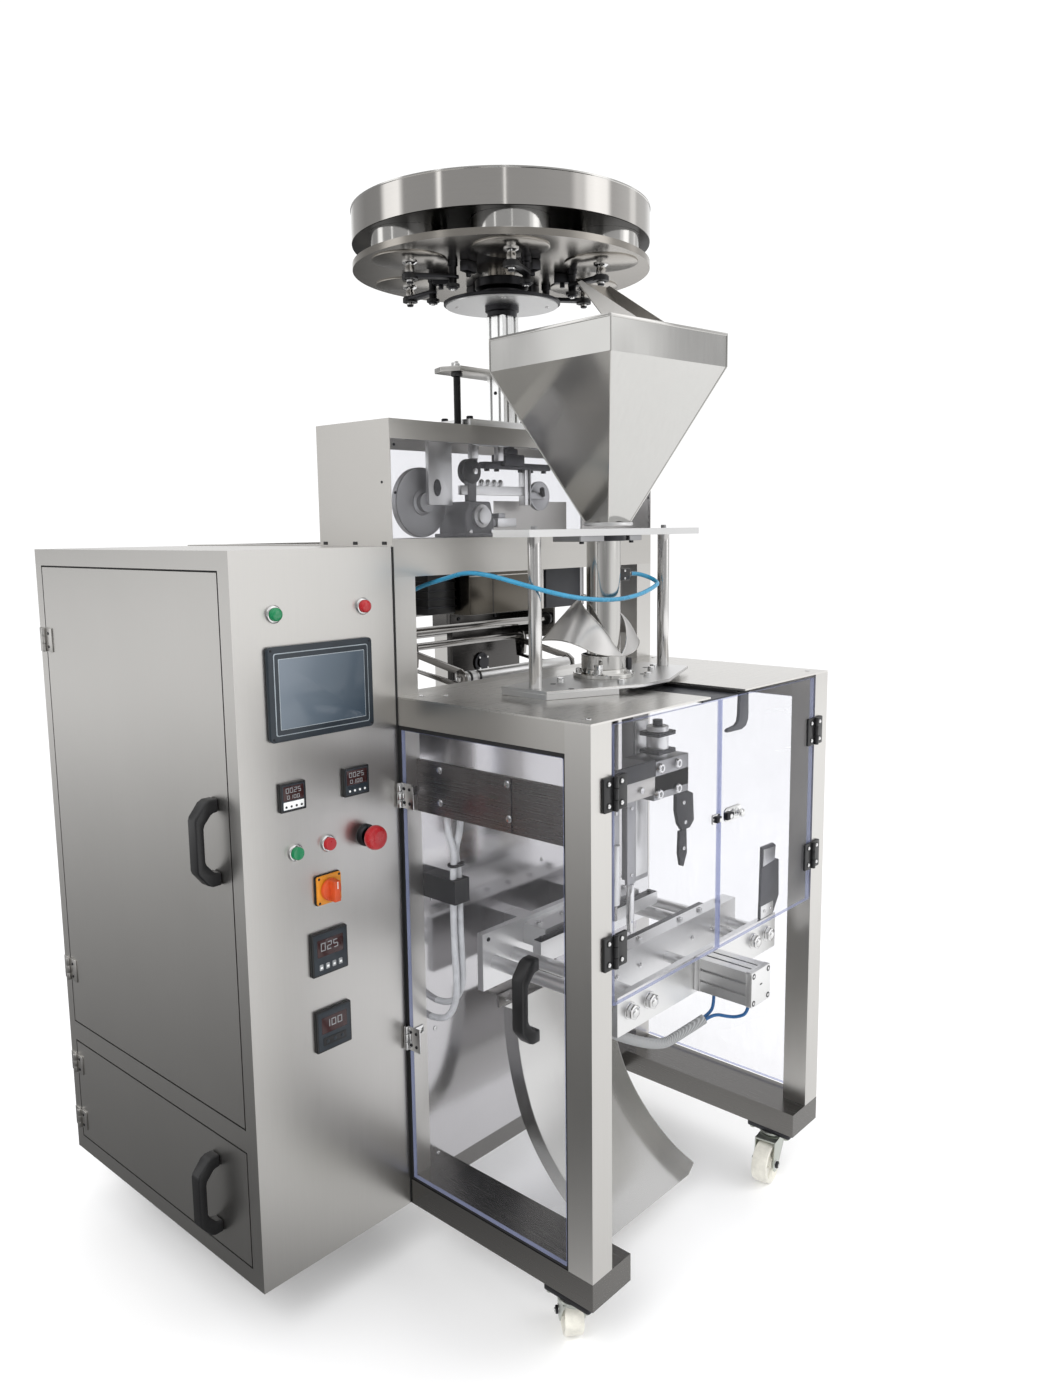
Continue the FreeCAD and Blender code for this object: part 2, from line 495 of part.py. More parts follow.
# ---------------------------------------------------------------- turntable
RR, RL, RT = D.ringRadius, D.ringLow, D.ringTop
DTOP, DTH = D.discTop, D.discThick
cups, cup_holes, flaps, disc_holes = [], [], [], []
for i in range(6):
    a = math.radians(60 * i - 12)
    px, py = TX + D.cupRing * math.cos(a), TY + D.cupRing * math.sin(a)
    cup_holes.append(rod("cup_hole%d" % i, px, py, RL - 1, D.cupRadius - D.cupWall, 10))
    cups.append(cut("cup%d" % i, rod("cup_out%d" % i, px, py, DTOP, D.cupRadius, RL - DTOP), rod("cup_in%d" % i, px, py, DTOP - 1, D.cupRadius - D.cupWall, RL - DTOP + 2)))
    flaps.append(fuse("flap%d" % i, rod("flap_disc%d" % i, px, py, DTOP - DTH - 3, D.cupRadius - 1, 3), rod("flap_pin%d" % i, px, py, DTOP - DTH - 42, 6.5, 40),
                      rod("flap_roller%d" % i, TX + 138 * math.cos(a + 0.25), TY + 138 * math.sin(a + 0.25), DTOP - DTH - 50, 8, 50)))
    disc_holes.append(rod("disc_hole%d" % i, px, py, DTOP - DTH - 1, D.cupRadius - D.cupWall, DTH + 2))
tray = cut("tray", rod("tray_out", TX, TY, RL, RR, RT - RL), rod("tray_in", TX, TY, RL + 3, RR - D.ringWall, RT - RL), *cup_holes)
node(tray, "turntable_tray")
node(group("cups", *cups), "turntable_cups")
disc = cut("disc", fuse("disc_solid", rod("disc_plate", TX, TY, DTOP - DTH, RR, DTH), rod("disc_hub", TX, TY, D.camTop + 7, 26, RL - D.camTop - 7)), *disc_holes)
node(disc, "turntable_disc")
node(group("flap_set", *flaps), "turntable_flaps")

# ---------------------------------------------------------------- hopper, and the feed chute that stands in it
HS, HT, HB, HL, SH = D.hopperSide, D.hopperTop, D.hopperBand, D.hopperLow, D.hopperSheet


def pyramid(name, side, z0, low_side, zc, z1):
    """Square box from z0 up to z1 joined with a pyramid from low_side at zc up to z0."""
    b = new_body(name)
    half, lh = q(side) / 2, q(low_side) / 2
    a = outline(b, "XY_Plane", [(-half, -half), (half, -half), (half, half), (-half, half)], name + "_top", z0)
    c = outline(b, "XY_Plane", [(-lh, -lh), (lh, -lh), (lh, lh), (-lh, lh)], name + "_low", zc)
    loft = b.newObject("PartDesign::AdditiveLoft", name + "_loft")
    loft.Profile = c
    loft.Sections = [a]
    loft.Ruled = True
    d = outline(b, "XY_Plane", [(-half, -half), (half, -half), (half, half), (-half, half)], name + "_band", z0)
    pad(b, d, q(z1) - z0, name + "_pad")
    return b


ho = pyramid("hopper_out", HS, HT - HB, D.hopperSpout, HL, HT)
hi = pyramid("hopper_in", HS - 2 * SH, HT - HB, D.hopperSpout - 2 * SH, HL - 0.5, HT + 5)
hop = cut("hopper_cut", ho, hi)
feed = new_body("feed_body")
FEED = [(70, 1775), (-44, 1652), (-45.5, 1653.4), (68.5, 1776.4)]
sf = outline(feed, "YZ_Plane", FEED, "feed_profile", -5)
pad(feed, sf, 75, "feed_pad")
cheeks = []
for i, x in enumerate((-5, 68)):
    b = new_body("feed_cheek%d" % i)
    s = outline(b, "YZ_Plane", [(69.5, 1775), (-44.5, 1652), (-74, 1658), (-72, 1694), (60, 1777)], "feed_cheek_outline%d" % i, x)
    pad(b, s, 2, "feed_cheek_pad%d" % i)
    cheeks.append(b)
common = doc.addObject("Part::Common", "feed_bar")
common.Base = box("feed_bar_box", 20, 44, -38, 170, 1656, 1659)
common.Tool = hi
feed_all = fuse("feed_all", feed, cheeks[0], cheeks[1], common)
for obj, label in ((hop, "hopper"), (feed_all, "feed_chute")):
    obj.Placement = Placement(Vector(0, 0, 0), Rotation(Vector(0, 0, 1), -6))
    AT[obj.Name] = (q(350), q(-190), q(0))
    node(obj, label)

# ---------------------------------------------------------------- stand, forming tube, collar
SX, SY = D.standX, -D.standY
half_span = D.shaftSpan / 2
TT, BPL, ST, TP = D.tableTop, D.basePlate, D.standTop, D.topPlate
CR = D.collarRadius
# base plate: a thin plate that comes to a blunt point at the front, on a block under each shaft
plate_body = new_body("base_plate_body")
pad(plate_body, outline(plate_body, "XY_Plane", [(126, -234), (298, -308), (376, -308), (548, -234), (548, -130), (126, -130)], "base_plate_outline", TT + BPL - 5), 5, "base_plate_pad")
block_body = new_body("base_block_body")
pad(block_body, outline(block_body, "XY_Plane", [(126, -234), (254, -289), (254, -130), (126, -130)], "base_block_outline", TT), BPL - 5 + 0.01, "base_block_pad")
base_plate = cut("base_plate", fuse("base_plate_solid", plate_body, block_body, box("base_block_r", 440, 540, -220, -135, TT, TT + BPL - 4)), rod("base_bore", SX, SY, TT - 1, CR, 30))
top_plate = cut("top_plate", fuse("top_plate_solid", box("top_plate_box", 90, 585, -232, -150, ST, ST + TP), box("tube_flange", 232, 412, -222, -158, ST - 10, ST + 1)),
                rod("top_bore", SX, SY, ST - 15, D.tubeRadius, 40))
node(group("stand", base_plate, top_plate,
           rod("shaft_l", SX - half_span, SY, TT + BPL, D.shaftRadius, ST - TT - BPL), rod("shaft_r", SX + half_span, SY, TT + BPL, D.shaftRadius, ST - TT - BPL)), "tube_stand")
tube = cut("tube", rod("tube_out", SX, SY, D.tubeLow, D.tubeRadius, ST + TP - D.tubeLow), rod("tube_in", SX, SY, D.tubeLow - 1, D.tubeRadius - D.tubeWall, 800))
sensor = cut("sensor", fuse("sensor_solid", box("sensor_block", SX + 26, 402, -202, -178, 1240, 1262), rod("sensor_fitting", 401, -190, 1251, 7, 13, "x")),
             rod("sensor_seat", SX, SY, 1200, D.tubeRadius - 0.5, 100))
node(fuse("tube_and_sensor", tube, sensor), "forming_tube")

# forming collar: a lower ring, and a shoulder whose inner edge climbs round the tube from the front to the back
# and whose outer edge is the plan of the two wings
INNER = [(-90, 1108), (-67.5, 1126), (-45, 1150), (-22.5, 1169), (0, 1184), (22.5, 1195), (45, 1204), (67.5, 1210), (90, 1212)]
OUTER = [(0, -43, 1106), (34, -40, 1110), (66, -30, 1118), (88, -13, 1131), (95, 12, 1138), (96, 38, 1139), (98, 65, 1137), (50, 58, 1176), (0, 47, 1214)]
ring_in, ring_out = [], []
for (deg, z), (ox, oy, oz) in zip(INNER, OUTER):
    ring_in.append((CR.number * math.cos(math.radians(deg)), CR.number * math.sin(math.radians(deg)), z))
    ring_out.append((ox, oy, oz))
for seq in (ring_in, ring_out):
    seq.extend([(-x, y, z) for x, y, z in seq[-2:0:-1]])
n = len(ring_in)
th = D.collarSheet.number
mid = []
for a, b in zip(ring_in, ring_out):
    mid.append(((a[0] + b[0]) / 2, (a[1] + b[1]) / 2, (a[2] + b[2]) / 2 + 5))
tri = []
rows_top = [ring_in, mid, ring_out]
rows_low = [[(x, y, z - th) for x, y, z in row] for row in rows_top]


def quad(a, b, c, e):
    tri.append((a, b, c))
    tri.append((a, c, e))


for i in range(n):
    j = (i + 1) % n
    for k in range(2):
        quad(rows_top[k][i], rows_top[k + 1][i], rows_top[k + 1][j], rows_top[k][j])
        quad(rows_low[k][j], rows_low[k + 1][j], rows_low[k + 1][i], rows_low[k][i])
    quad(rows_top[2][i], rows_low[2][i], rows_low[2][j], rows_top[2][j])
    quad(rows_top[0][j], rows_low[0][j], rows_low[0][i], rows_top[0][i])
faces = []
for a, b, c in tri:
    w = Part.makePolygon([Vector(*a), Vector(*b), Vector(*c), Vector(*a)])
    faces.append(Part.Face(w))
shoulder_shape = Part.makeSolid(Part.makeShell(faces))
if shoulder_shape.Volume < 0:
    shoulder_shape.reverse()
shoulder = doc.addObject("Part::Feature", "shoulder")
shoulder.Shape = shoulder_shape
place(shoulder, SX, SY, 0)
collar_ring = cut("collar_ring", fuse("collar_ring_solid", rod("collar_sleeve", SX, SY, TT - 60, CR, 1107 - TT + 60), rod("collar_flange", SX, SY, TT + BPL, 56, 8)),
                  rod("collar_bore", SX, SY, TT - 61, CR - 2, 260))
node(group("collar", shoulder, collar_ring), "forming_collar")

# ---------------------------------------------------------------- film path in the portal
bars = []
for i, (y, z, r) in enumerate(((250, 1128, 9), (330, 1160, 9), (420, 1100, 9))):
    bars.append(rod("guide_bar%d" % i, 55, y, z, r, W - 110, "x"))
side_l = box("film_side_l", PS, 56, 236, D.frameDepth, 1084, 1176)
side_r = box("film_side_r", W - 56, W - PS, 236, D.frameDepth, 1084, 1176)
ARM = [(134, 1028), (142, 1020), (160, 1017), (306, 1042), (312, 1100), (284, 1100), (280, 1082), (150, 1056), (136, 1046)]
ARM_HOLE = [(180, 1031), (282, 1048), (280, 1069), (180, 1048)]
arms = []
for i, x in enumerate((300, 640)):
    arm_body, hole_body = new_body("roller_arm_body%d" % i), new_body("roller_arm_window%d" % i)
    pad(arm_body, outline(arm_body, "YZ_Plane", ARM, "roller_arm_outline%d" % i, x), 8, "roller_arm_pad%d" % i)
    pad(hole_body, outline(hole_body, "YZ_Plane", ARM_HOLE, "roller_arm_window_outline%d" % i, x - 1), 10, "roller_arm_window_pad%d" % i)
    arms.append(cut("roller_arm%d" % i, arm_body, hole_body, rod("roller_arm_bore%d" % i, x - 1, 150, 1036, 7.05, 10, "x")))
node(fuse("guide_rack", side_l, side_r, rod("arm_bar", 55, 298, 1090, 8, W - 110, "x"), *bars, *arms), "film_guide_bars")
node(fuse("roller", rod("roller_body", 312, 150, 1036, 14, 324, "x"), rod("roller_axle", 300, 150, 1036, 7, 348, "x")), "film_roller")

# ---------------------------------------------------------------- hoses: straight runs joined by tangent arcs


def hose(label, points, diameter):
    P = [Vector(*p) for p in points]
    edges, last, radii, length = [], P[0], [], 0.0
    for i in range(1, len(P) - 1):
        u = (P[i] - P[i - 1])
        v = (P[i + 1] - P[i])
        lu, lv = u.Length, v.Length
        u.normalize()
        v.normalize()
        half = math.acos(max(-1.0, min(1.0, u.dot(v)))) / 2
        if half < 0.002:
            continue
        t = 0.45 * min(lu, lv)
        r = t / math.tan(half)
        radii.append(round(r, 1))
        a, b = P[i] - u * t, P[i] + v * t
        bis = (v - u)
        bis.normalize()
        centre = P[i] + bis * (r / math.cos(half))
        m = centre - bis * r
        edges.append(Part.LineSegment(last, a).toShape())
        edges.append(Part.Arc(a, m, b).toShape())
        length += (a - last).Length + 2 * half * r
        last = b
    edges.append(Part.LineSegment(last, P[-1]).toShape())
    length += (P[-1] - last).Length
    wire = Part.Wire(edges)
    first = P[1] - P[0]
    circle = Part.Wire([Part.makeCircle(diameter / 2.0, P[0], first)])
    solid = wire.makePipeShell([circle], True, False)
    if solid.ShapeType != "Solid":
        solid = Part.Solid(solid) if solid.ShapeType == "Shell" else solid.Solids[0]
    f = doc.addObject("Part::Feature", label + "_run")
    f.Shape = solid
    want = math.pi * diameter ** 2 / 4 * length
    print("hose", label, "diameter", diameter, "length", round(length, 1), "smallest radius", min(radii), "radii", radii, "volume ratio", round(solid.Volume / want, 4), "longest run", round(max((P[k + 1] - P[k]).Length for k in range(len(P) - 1)), 1))
    if abs(solid.Volume / want - 1) > 0.01:
        raise RuntimeError("hose volume is off: " + label)
    AT[f.Name] = (q(0), q(0), q(0))
    return node(f, label)


AIR_HOSE = [(414, -190, 1251), (432, -190, 1251), (444.6, -196.8, 1248.3), (451.8, -208.4, 1243.7), (451.8, -221.9, 1238.3), (444.6, -233.6, 1233.6), (432, -240.3, 1230.8),
            (405, -246.4, 1224.5), (360, -252, 1216), (290, -254, 1211), (210, -249, 1217), (150, -234, 1229), (108, -196, 1246), (92, -135, 1261), (98, -75, 1264),
            (106, -20, 1252), (104, 40, 1238), (84, 88, 1214), (54, 112, 1186), (10, 112, 1186)]
hose("air_hose", AIR_HOSE, 8)
JAW_CONDUIT = [(72, -352, 841), (72, -352, 700), (72, -350, 540), (244, -376.5, 438.5), (312, -384.5, 443.5), (352, -404, 462)]
hose("jaw_conduit", JAW_CONDUIT, 18)
JAW_TUBE_REAR = [(353.75, -400.4, 462), (366.1, -406.4, 468), (374, -410.2, 481.4), (374, -410.2, 503)]
hose("jaw_air_tube_rear", JAW_TUBE_REAR, 6)
JAW_TUBE_FRONT = [(350.25, -407.6, 462), (366.7, -415.6, 470), (380, -436, 466), (386, -452, 468), (388, -471, 480), (388, -474, 503)]
hose("jaw_air_tube_front", JAW_TUBE_FRONT, 6)
CHAMBER_A = [(62, -52, 862), (62, -52, 812), (65, -69, 772), (61, -66, 732), (61, -66, 600), (61, -72, 520), (61, -62, 479), (61, -34, 449), (61, 0, 447)]
hose("chamber_hose_a", CHAMBER_A, 12)
CHAMBER_B = [(76, -74, 862), (76, -74, 812), (77, -56, 772), (77, -66, 732), (77, -66, 610), (77, -72, 540), (77, -62, 503), (77, -34, 475), (77, 0, 473)]
hose("chamber_hose_b", CHAMBER_B, 12)
# black clamp that holds the two chamber hoses off the back sheet
clamp = cut("hose_clamp", box("clamp_block", 52, 88, -80, 0, 680, 724), rod("clamp_bore_a", 61, -66, 670, 6.05, 70), rod("clamp_bore_b", 77, -66, 670, 6.05, 70))
node(clamp, "hose_clamp")

doc.recompute()
bad = [o.Name for o in doc.Objects if "Invalid" in o.State or "Error" in o.State]
if bad:
    raise RuntimeError("objects not made: %s" % bad)
os.makedirs("parts", exist_ok=True)
low, high = Vector(1e9, 1e9, 1e9), Vector(-1e9, -1e9, -1e9)
volume = 0.0
for o in NODES:
    s = o.Shape
    if s.isNull() or not s.isValid() or not s.Solids:
        raise RuntimeError("no valid solid in " + o.Label)
    bb = s.BoundBox
    low = Vector(min(low.x, bb.XMin), min(low.y, bb.YMin), min(low.z, bb.ZMin))
    high = Vector(max(high.x, bb.XMax), max(high.y, bb.YMax), max(high.z, bb.ZMax))
    volume += s.Volume
    s.exportStep("parts/%s.step" % o.Label)
print("nodes", len(NODES), "box", [round(v, 2) for v in (low.x, low.y, low.z, high.x, high.y, high.z)], "volume m3", round(volume / 1e9, 4))
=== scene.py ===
import bpy, bmesh, math, random
from mathutils import Matrix, Vector
from mathutils.geometry import tessellate_polygon


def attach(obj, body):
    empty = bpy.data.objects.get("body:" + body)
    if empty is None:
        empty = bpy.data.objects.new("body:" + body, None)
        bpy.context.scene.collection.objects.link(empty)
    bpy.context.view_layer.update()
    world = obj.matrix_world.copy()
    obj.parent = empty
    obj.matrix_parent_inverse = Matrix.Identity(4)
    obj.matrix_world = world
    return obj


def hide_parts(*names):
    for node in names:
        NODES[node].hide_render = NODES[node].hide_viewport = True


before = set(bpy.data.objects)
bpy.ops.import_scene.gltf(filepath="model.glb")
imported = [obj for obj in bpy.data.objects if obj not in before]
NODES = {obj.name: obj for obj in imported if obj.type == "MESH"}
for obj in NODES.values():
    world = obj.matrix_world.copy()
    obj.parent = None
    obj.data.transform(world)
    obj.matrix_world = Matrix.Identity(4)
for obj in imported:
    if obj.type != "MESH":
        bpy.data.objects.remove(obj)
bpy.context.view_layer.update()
random.seed(7)

OX, OY = 194.0, 76.5


def P(x, y, z):
    """Machine millimetres (0 at the frame's left face and the panel's face) to part metres."""
    return Vector(((x - OX) / 1000, (y - OY) / 1000, z / 1000))


# ------------------------------------------------------------------ camera
cam = bpy.data.cameras.new("camera")
cam_ob = bpy.data.objects.new("camera", cam)
bpy.context.scene.collection.objects.link(cam_ob)
bpy.context.scene.camera = cam_ob
cam.sensor_width = 36.0
cam.lens = 27.441
cam.shift_x = -0.0004
cam.shift_y = -0.0161
cam.clip_start = 0.05
cam.clip_end = 60
R_ = Vector((0.67137, -0.74101, -0.01255)); U_ = Vector((0.11076, 0.08358, 0.99033)); F_ = Vector((0.73280, 0.66627, -0.13819))
cam_ob.matrix_world = Matrix(((R_.x, U_.x, -F_.x, -1.39498), (R_.y, U_.y, -F_.y, -1.46432), (R_.z, U_.z, -F_.z, 1.3370), (0, 0, 0, 1)))
bpy.context.scene.view_settings.view_transform = "Standard"
bpy.context.scene.view_settings.look = "None"


# ------------------------------------------------------------------ materials
def new_mat(name):
    m = bpy.data.materials.new(name)
    m.use_nodes = True
    nt = m.node_tree
    b = nt.nodes["Principled BSDF"]
    return m, nt, b


def N(nt, kind, **kw):
    n = nt.nodes.new(kind)
    for k, v in kw.items():
        if k.startswith("i_"):
            n.inputs[k[2:].replace("_", " ")].default_value = v
        else:
            setattr(n, k, v)
    return n


def L(nt, a, b):
    nt.links.new(a, b)


def coords(nt, scale, loc=(0, 0, 0)):
    tc = N(nt, "ShaderNodeTexCoord")
    mp = N(nt, "ShaderNodeMapping")
    mp.inputs["Scale"].default_value = scale
    mp.inputs["Location"].default_value = loc
    L(nt, tc.outputs["Object"], mp.inputs["Vector"])
    return mp.outputs["Vector"]


def noise(nt, vec, scale, detail=4.0, rough=0.5):
    n = N(nt, "ShaderNodeTexNoise")
    n.inputs["Scale"].default_value = scale
    n.inputs["Detail"].default_value = detail
    n.inputs["Roughness"].default_value = rough
    L(nt, vec, n.inputs["Vector"])
    return n.outputs["Fac"]


def remap(nt, val, lo, hi, a=0.3, b=0.7):
    r = N(nt, "ShaderNodeMapRange")
    r.inputs["From Min"].default_value = a
    r.inputs["From Max"].default_value = b
    r.inputs["To Min"].default_value = lo
    r.inputs["To Max"].default_value = hi
    L(nt, val, r.inputs["Value"])
    return r.outputs["Result"]


def mixcol(nt, fac, c1, c2):
    m = N(nt, "ShaderNodeMix", data_type="RGBA")
    if isinstance(fac, float):
        m.inputs[0].default_value = fac
    else:
        L(nt, fac, m.inputs[0])
    for i, c in ((6, c1), (7, c2)):
        if isinstance(c, tuple):
            m.inputs[i].default_value = (*c, 1)
        else:
            L(nt, c, m.inputs[i])
    return m.outputs[2]


def bump(nt, b, height, strength, dist=0.001):
    n = N(nt, "ShaderNodeBump")
    n.inputs["Strength"].default_value = strength
    n.inputs["Distance"].default_value = dist
    L(nt, height, n.inputs["Height"])
    L(nt, n.outputs["Normal"], b.inputs["Normal"])
    return n


def steel(name, grain=(260, 260, 4), base=(0.60, 0.585, 0.56), rough=(0.24, 0.40), cloud=0.10, aniso=0.0, bumpy=0.05, wave=0.0):
    """Brushed stainless sheet: fine grain drawn out along one axis, faint clouding, small waviness of the sheet."""
    m, nt, b = new_mat(name)
    b.inputs["Metallic"].default_value = 1.0
    g = noise(nt, coords(nt, grain), 2.2, 6, 0.65)
    c = noise(nt, coords(nt, (1, 1, 1)), 2.6, 3, 0.5)
    fine = mixcol(nt, remap(nt, g, 0, 1), tuple(v * 0.98 for v in base), tuple(min(1, v * 1.02) for v in base))
    col = mixcol(nt, remap(nt, c, 0, 1), fine, tuple(v * (1 - cloud) for v in base))
    mm = N(nt, "ShaderNodeMix", data_type="RGBA")
    mm.inputs[0].default_value = 0.5
    L(nt, fine, mm.inputs[6])
    L(nt, col, mm.inputs[7])
    L(nt, mm.outputs[2], b.inputs["Base Color"])
    L(nt, remap(nt, g, rough[0] * 0.68 + rough[1] * 0.32, rough[0] * 0.32 + rough[1] * 0.68), b.inputs["Roughness"])
    b.inputs["Anisotropic"].default_value = aniso
    bn = bump(nt, b, g, bumpy * 0.4, 0.0006)
    if wave:
        w = noise(nt, coords(nt, (1, 1, 1)), 5.0, 1, 0.4)
        b2 = N(nt, "ShaderNodeBump")
        b2.inputs["Strength"].default_value = wave
        b2.inputs["Distance"].default_value = 0.02
        L(nt, w, b2.inputs["Height"])
        L(nt, b2.outputs["Normal"], bn.inputs["Normal"])
    return m


def plastic(name, col, rough=0.4, grain=900, strength=0.12, spec=0.5, vary=0.15, coat=0.0):
    m, nt, b = new_mat(name)
    c = noise(nt, coords(nt, (1, 1, 1)), grain, 2, 0.6)
    d = noise(nt, coords(nt, (1, 1, 1)), 40, 4, 0.6)
    L(nt, mixcol(nt, remap(nt, d, 0, 1), tuple(v * (1 - vary) for v in col), tuple(min(1, v * (1 + vary)) for v in col)), b.inputs["Base Color"])
    L(nt, remap(nt, d, rough * 0.85, min(1, rough * 1.15)), b.inputs["Roughness"])
    b.inputs["Specular IOR Level"].default_value = spec
    b.inputs["Coat Weight"].default_value = coat
    bump(nt, b, c, strength, 0.0003)
    return m


def glow(name, col, strength, rough=0.2):
    m, nt, b = new_mat(name)
    d = noise(nt, coords(nt, (1, 1, 1)), 120, 2, 0.5)
    L(nt, mixcol(nt, remap(nt, d, 0, 1), tuple(v * 0.9 for v in col), col), b.inputs["Base Color"])
    b.inputs["Emission Color"].default_value = (*col, 1)
    b.inputs["Emission Strength"].default_value = strength
    b.inputs["Roughness"].default_value = rough
    return m


def clear(name, tint=(0.945, 0.946, 0.955), edge=(0.34, 0.38, 0.58), axis="X", haze=0.010, refl=0.45):
    """Clear plastic sheet: seen through almost unchanged, gloss on both faces, cut edges tinted blue-violet with a
    faint painted glow.
    """
    m, nt, b = new_mat(name)
    out = nt.nodes["Material Output"]
    tr = N(nt, "ShaderNodeBsdfTransparent")
    sm = noise(nt, coords(nt, (1, 1, 1)), 3.0, 4, 0.6)
    L(nt, mixcol(nt, remap(nt, sm, 0, 1), tint, tuple(min(1, v * 1.03) for v in tint)), tr.inputs["Color"])
    b.inputs["Base Color"].default_value = (0.93, 0.94, 1.0, 1)
    b.inputs["Roughness"].default_value = 0.06
    b.inputs["IOR"].default_value = 1.58
    b.inputs["Alpha"].default_value = haze
    gl = N(nt, "ShaderNodeBsdfGlossy")
    gl.inputs["Roughness"].default_value = 0.05
    gl.inputs["Color"].default_value = (0.96, 0.965, 0.98, 1)
    fr = N(nt, "ShaderNodeFresnel")
    fr.inputs["IOR"].default_value = 1.5
    mul = N(nt, "ShaderNodeMath", operation="MULTIPLY")
    mul.inputs[1].default_value = refl
    gb = N(nt, "ShaderNodeNewGeometry")
    inv = N(nt, "ShaderNodeMath", operation="SUBTRACT")
    inv.inputs[0].default_value = 1.0
    L(nt, gb.outputs["Backfacing"], inv.inputs[1])
    fm_ = N(nt, "ShaderNodeMath", operation="MULTIPLY")
    L(nt, fr.outputs[0], fm_.inputs[0])
    L(nt, inv.outputs[0], fm_.inputs[1])
    L(nt, fm_.outputs[0], mul.inputs[0])
    m1 = N(nt, "ShaderNodeMixShader")
    L(nt, mul.outputs[0], m1.inputs[0])
    L(nt, tr.outputs[0], m1.inputs[1])
    L(nt, gl.outputs[0], m1.inputs[2])
    # a very light haze of fine scratches and dust
    df = N(nt, "ShaderNodeBsdfDiffuse")
    df.inputs["Color"].default_value = (0.86, 0.86, 0.90, 1)
    m2 = N(nt, "ShaderNodeMixShader")
    L(nt, remap(nt, noise(nt, coords(nt, (40, 40, 6)), 3.0, 5, 0.7), haze * 0.4, haze * 1.6), m2.inputs[0])
    L(nt, m1.outputs[0], m2.inputs[1])
    L(nt, df.outputs[0], m2.inputs[2])
    # cut edges: blue-violet tint with a faint painted glow from emission
    ge = N(nt, "ShaderNodeTexCoord")
    sp = N(nt, "ShaderNodeSeparateXYZ")
    L(nt, ge.outputs["Normal"], sp.inputs[0])
    ab = N(nt, "ShaderNodeMath", operation="ABSOLUTE")
    if axis == "XY":
        ax = N(nt, "ShaderNodeMath", operation="ABSOLUTE")
        L(nt, sp.outputs["X"], ax.inputs[0])
        ay = N(nt, "ShaderNodeMath", operation="ABSOLUTE")
        L(nt, sp.outputs["Y"], ay.inputs[0])
        ms = N(nt, "ShaderNodeMath", operation="MAXIMUM")
        L(nt, ax.outputs[0], ms.inputs[0])
        L(nt, ay.outputs[0], ms.inputs[1])
        L(nt, ms.outputs[0], ab.inputs[0])
    else:
        L(nt, sp.outputs[axis], ab.inputs[0])
    lt = N(nt, "ShaderNodeMath", operation="LESS_THAN")
    lt.inputs[1].default_value = 0.7
    L(nt, ab.outputs[0], lt.inputs[0])
    eb = N(nt, "ShaderNodeBsdfPrincipled")
    eb.inputs["Base Color"].default_value = (*edge, 1)
    eb.inputs["Roughness"].default_value = 0.25
    eb.inputs["Emission Color"].default_value = (*edge, 1)
    eb.inputs["Emission Strength"].default_value = 0.05
    et = N(nt, "ShaderNodeBsdfTransparent")
    et.inputs["Color"].default_value = (0.8, 0.82, 0.97, 1)
    em = N(nt, "ShaderNodeMixShader")
    em.inputs[0].default_value = 0.45
    L(nt, eb.outputs[0], em.inputs[1])
    L(nt, et.outputs[0], em.inputs[2])
    m3 = N(nt, "ShaderNodeMixShader")
    L(nt, lt.outputs[0], m3.inputs[0])
    L(nt, m2.outputs[0], m3.inputs[1])
    L(nt, em.outputs[0], m3.inputs[2])
    L(nt, m3.outputs[0], out.inputs["Surface"])
    return m


M = {}
M["steel_v"] = steel("steel_vertical_grain", base=(0.645, 0.632, 0.61))
M["steel_x"] = steel("steel_grain_x", grain=(4, 260, 260))
M["steel_y"] = steel("steel_grain_y", grain=(260, 4, 260))
M["table"] = steel("steel_table", grain=(4, 260, 260), base=(0.72, 0.705, 0.68), rough=(0.24, 0.32), bumpy=0.01)
M["backsheet"] = steel("steel_back_sheet", grain=(5, 60, 60), base=(0.60, 0.59, 0.60), rough=(0.09, 0.16), wave=0.10, bumpy=0.005)
M["bright"] = steel("steel_polished", grain=(120, 120, 6), base=(0.66, 0.65, 0.63), rough=(0.09, 0.17), wave=0.25, bumpy=0.02)
M["hopper"] = steel("steel_hopper", grain=(60, 60, 5), base=(0.56, 0.555, 0.54), rough=(0.10, 0.18), wave=0.15, bumpy=0.01)
M["ring"] = steel("steel_ring", grain=(6, 6, 160), base=(0.62, 0.60, 0.575), rough=(0.06, 0.10), bumpy=0.006)
M["ring"].node_tree.nodes["Principled BSDF"].inputs["Anisotropic"].default_value = 0.0
M["disc"] = steel("steel_disc", grain=(9, 9, 9), base=(0.42, 0.395, 0.36), rough=(0.16, 0.24), bumpy=0.0, cloud=0.2)
# near-black sheet for under the tray: painted shade and dark reflection
M["under"] = steel("painted_shade_under_tray", grain=(9, 9, 9), base=(0.016, 0.015, 0.014), rough=(0.3, 0.4), bumpy=0.0)
M["chrome"] = steel("chrome_rod", grain=(14, 14, 14), base=(0.78, 0.78, 0.78), rough=(0.03, 0.08), bumpy=0.005)
M["alu"] = steel("aluminium_milled", grain=(180, 12, 180), base=(0.83, 0.83, 0.83), rough=(0.28, 0.42), bumpy=0.05)
M["alu_dark"] = steel("aluminium_dark", grain=(180, 12, 180), base=(0.42, 0.42, 0.43), rough=(0.30, 0.45), bumpy=0.05)
M["zinc"] = steel("zinc_pressed", grain=(40, 40, 40), base=(0.60, 0.63, 0.58), rough=(0.28, 0.45), bumpy=0.06)
M["dark"] = steel("dark_steel", grain=(60, 60, 60), base=(0.055, 0.055, 0.06), rough=(0.30, 0.45), bumpy=0.05)
M["black"] = plastic("black_moulded", (0.010, 0.010, 0.011), 0.34)
M["rubber"] = plastic("black_gasket", (0.012, 0.012, 0.013), 0.65, 300, 0.2)
M["nylon"] = plastic("nylon_wheel", (0.80, 0.78, 0.70), 0.38, 60, 0.15)
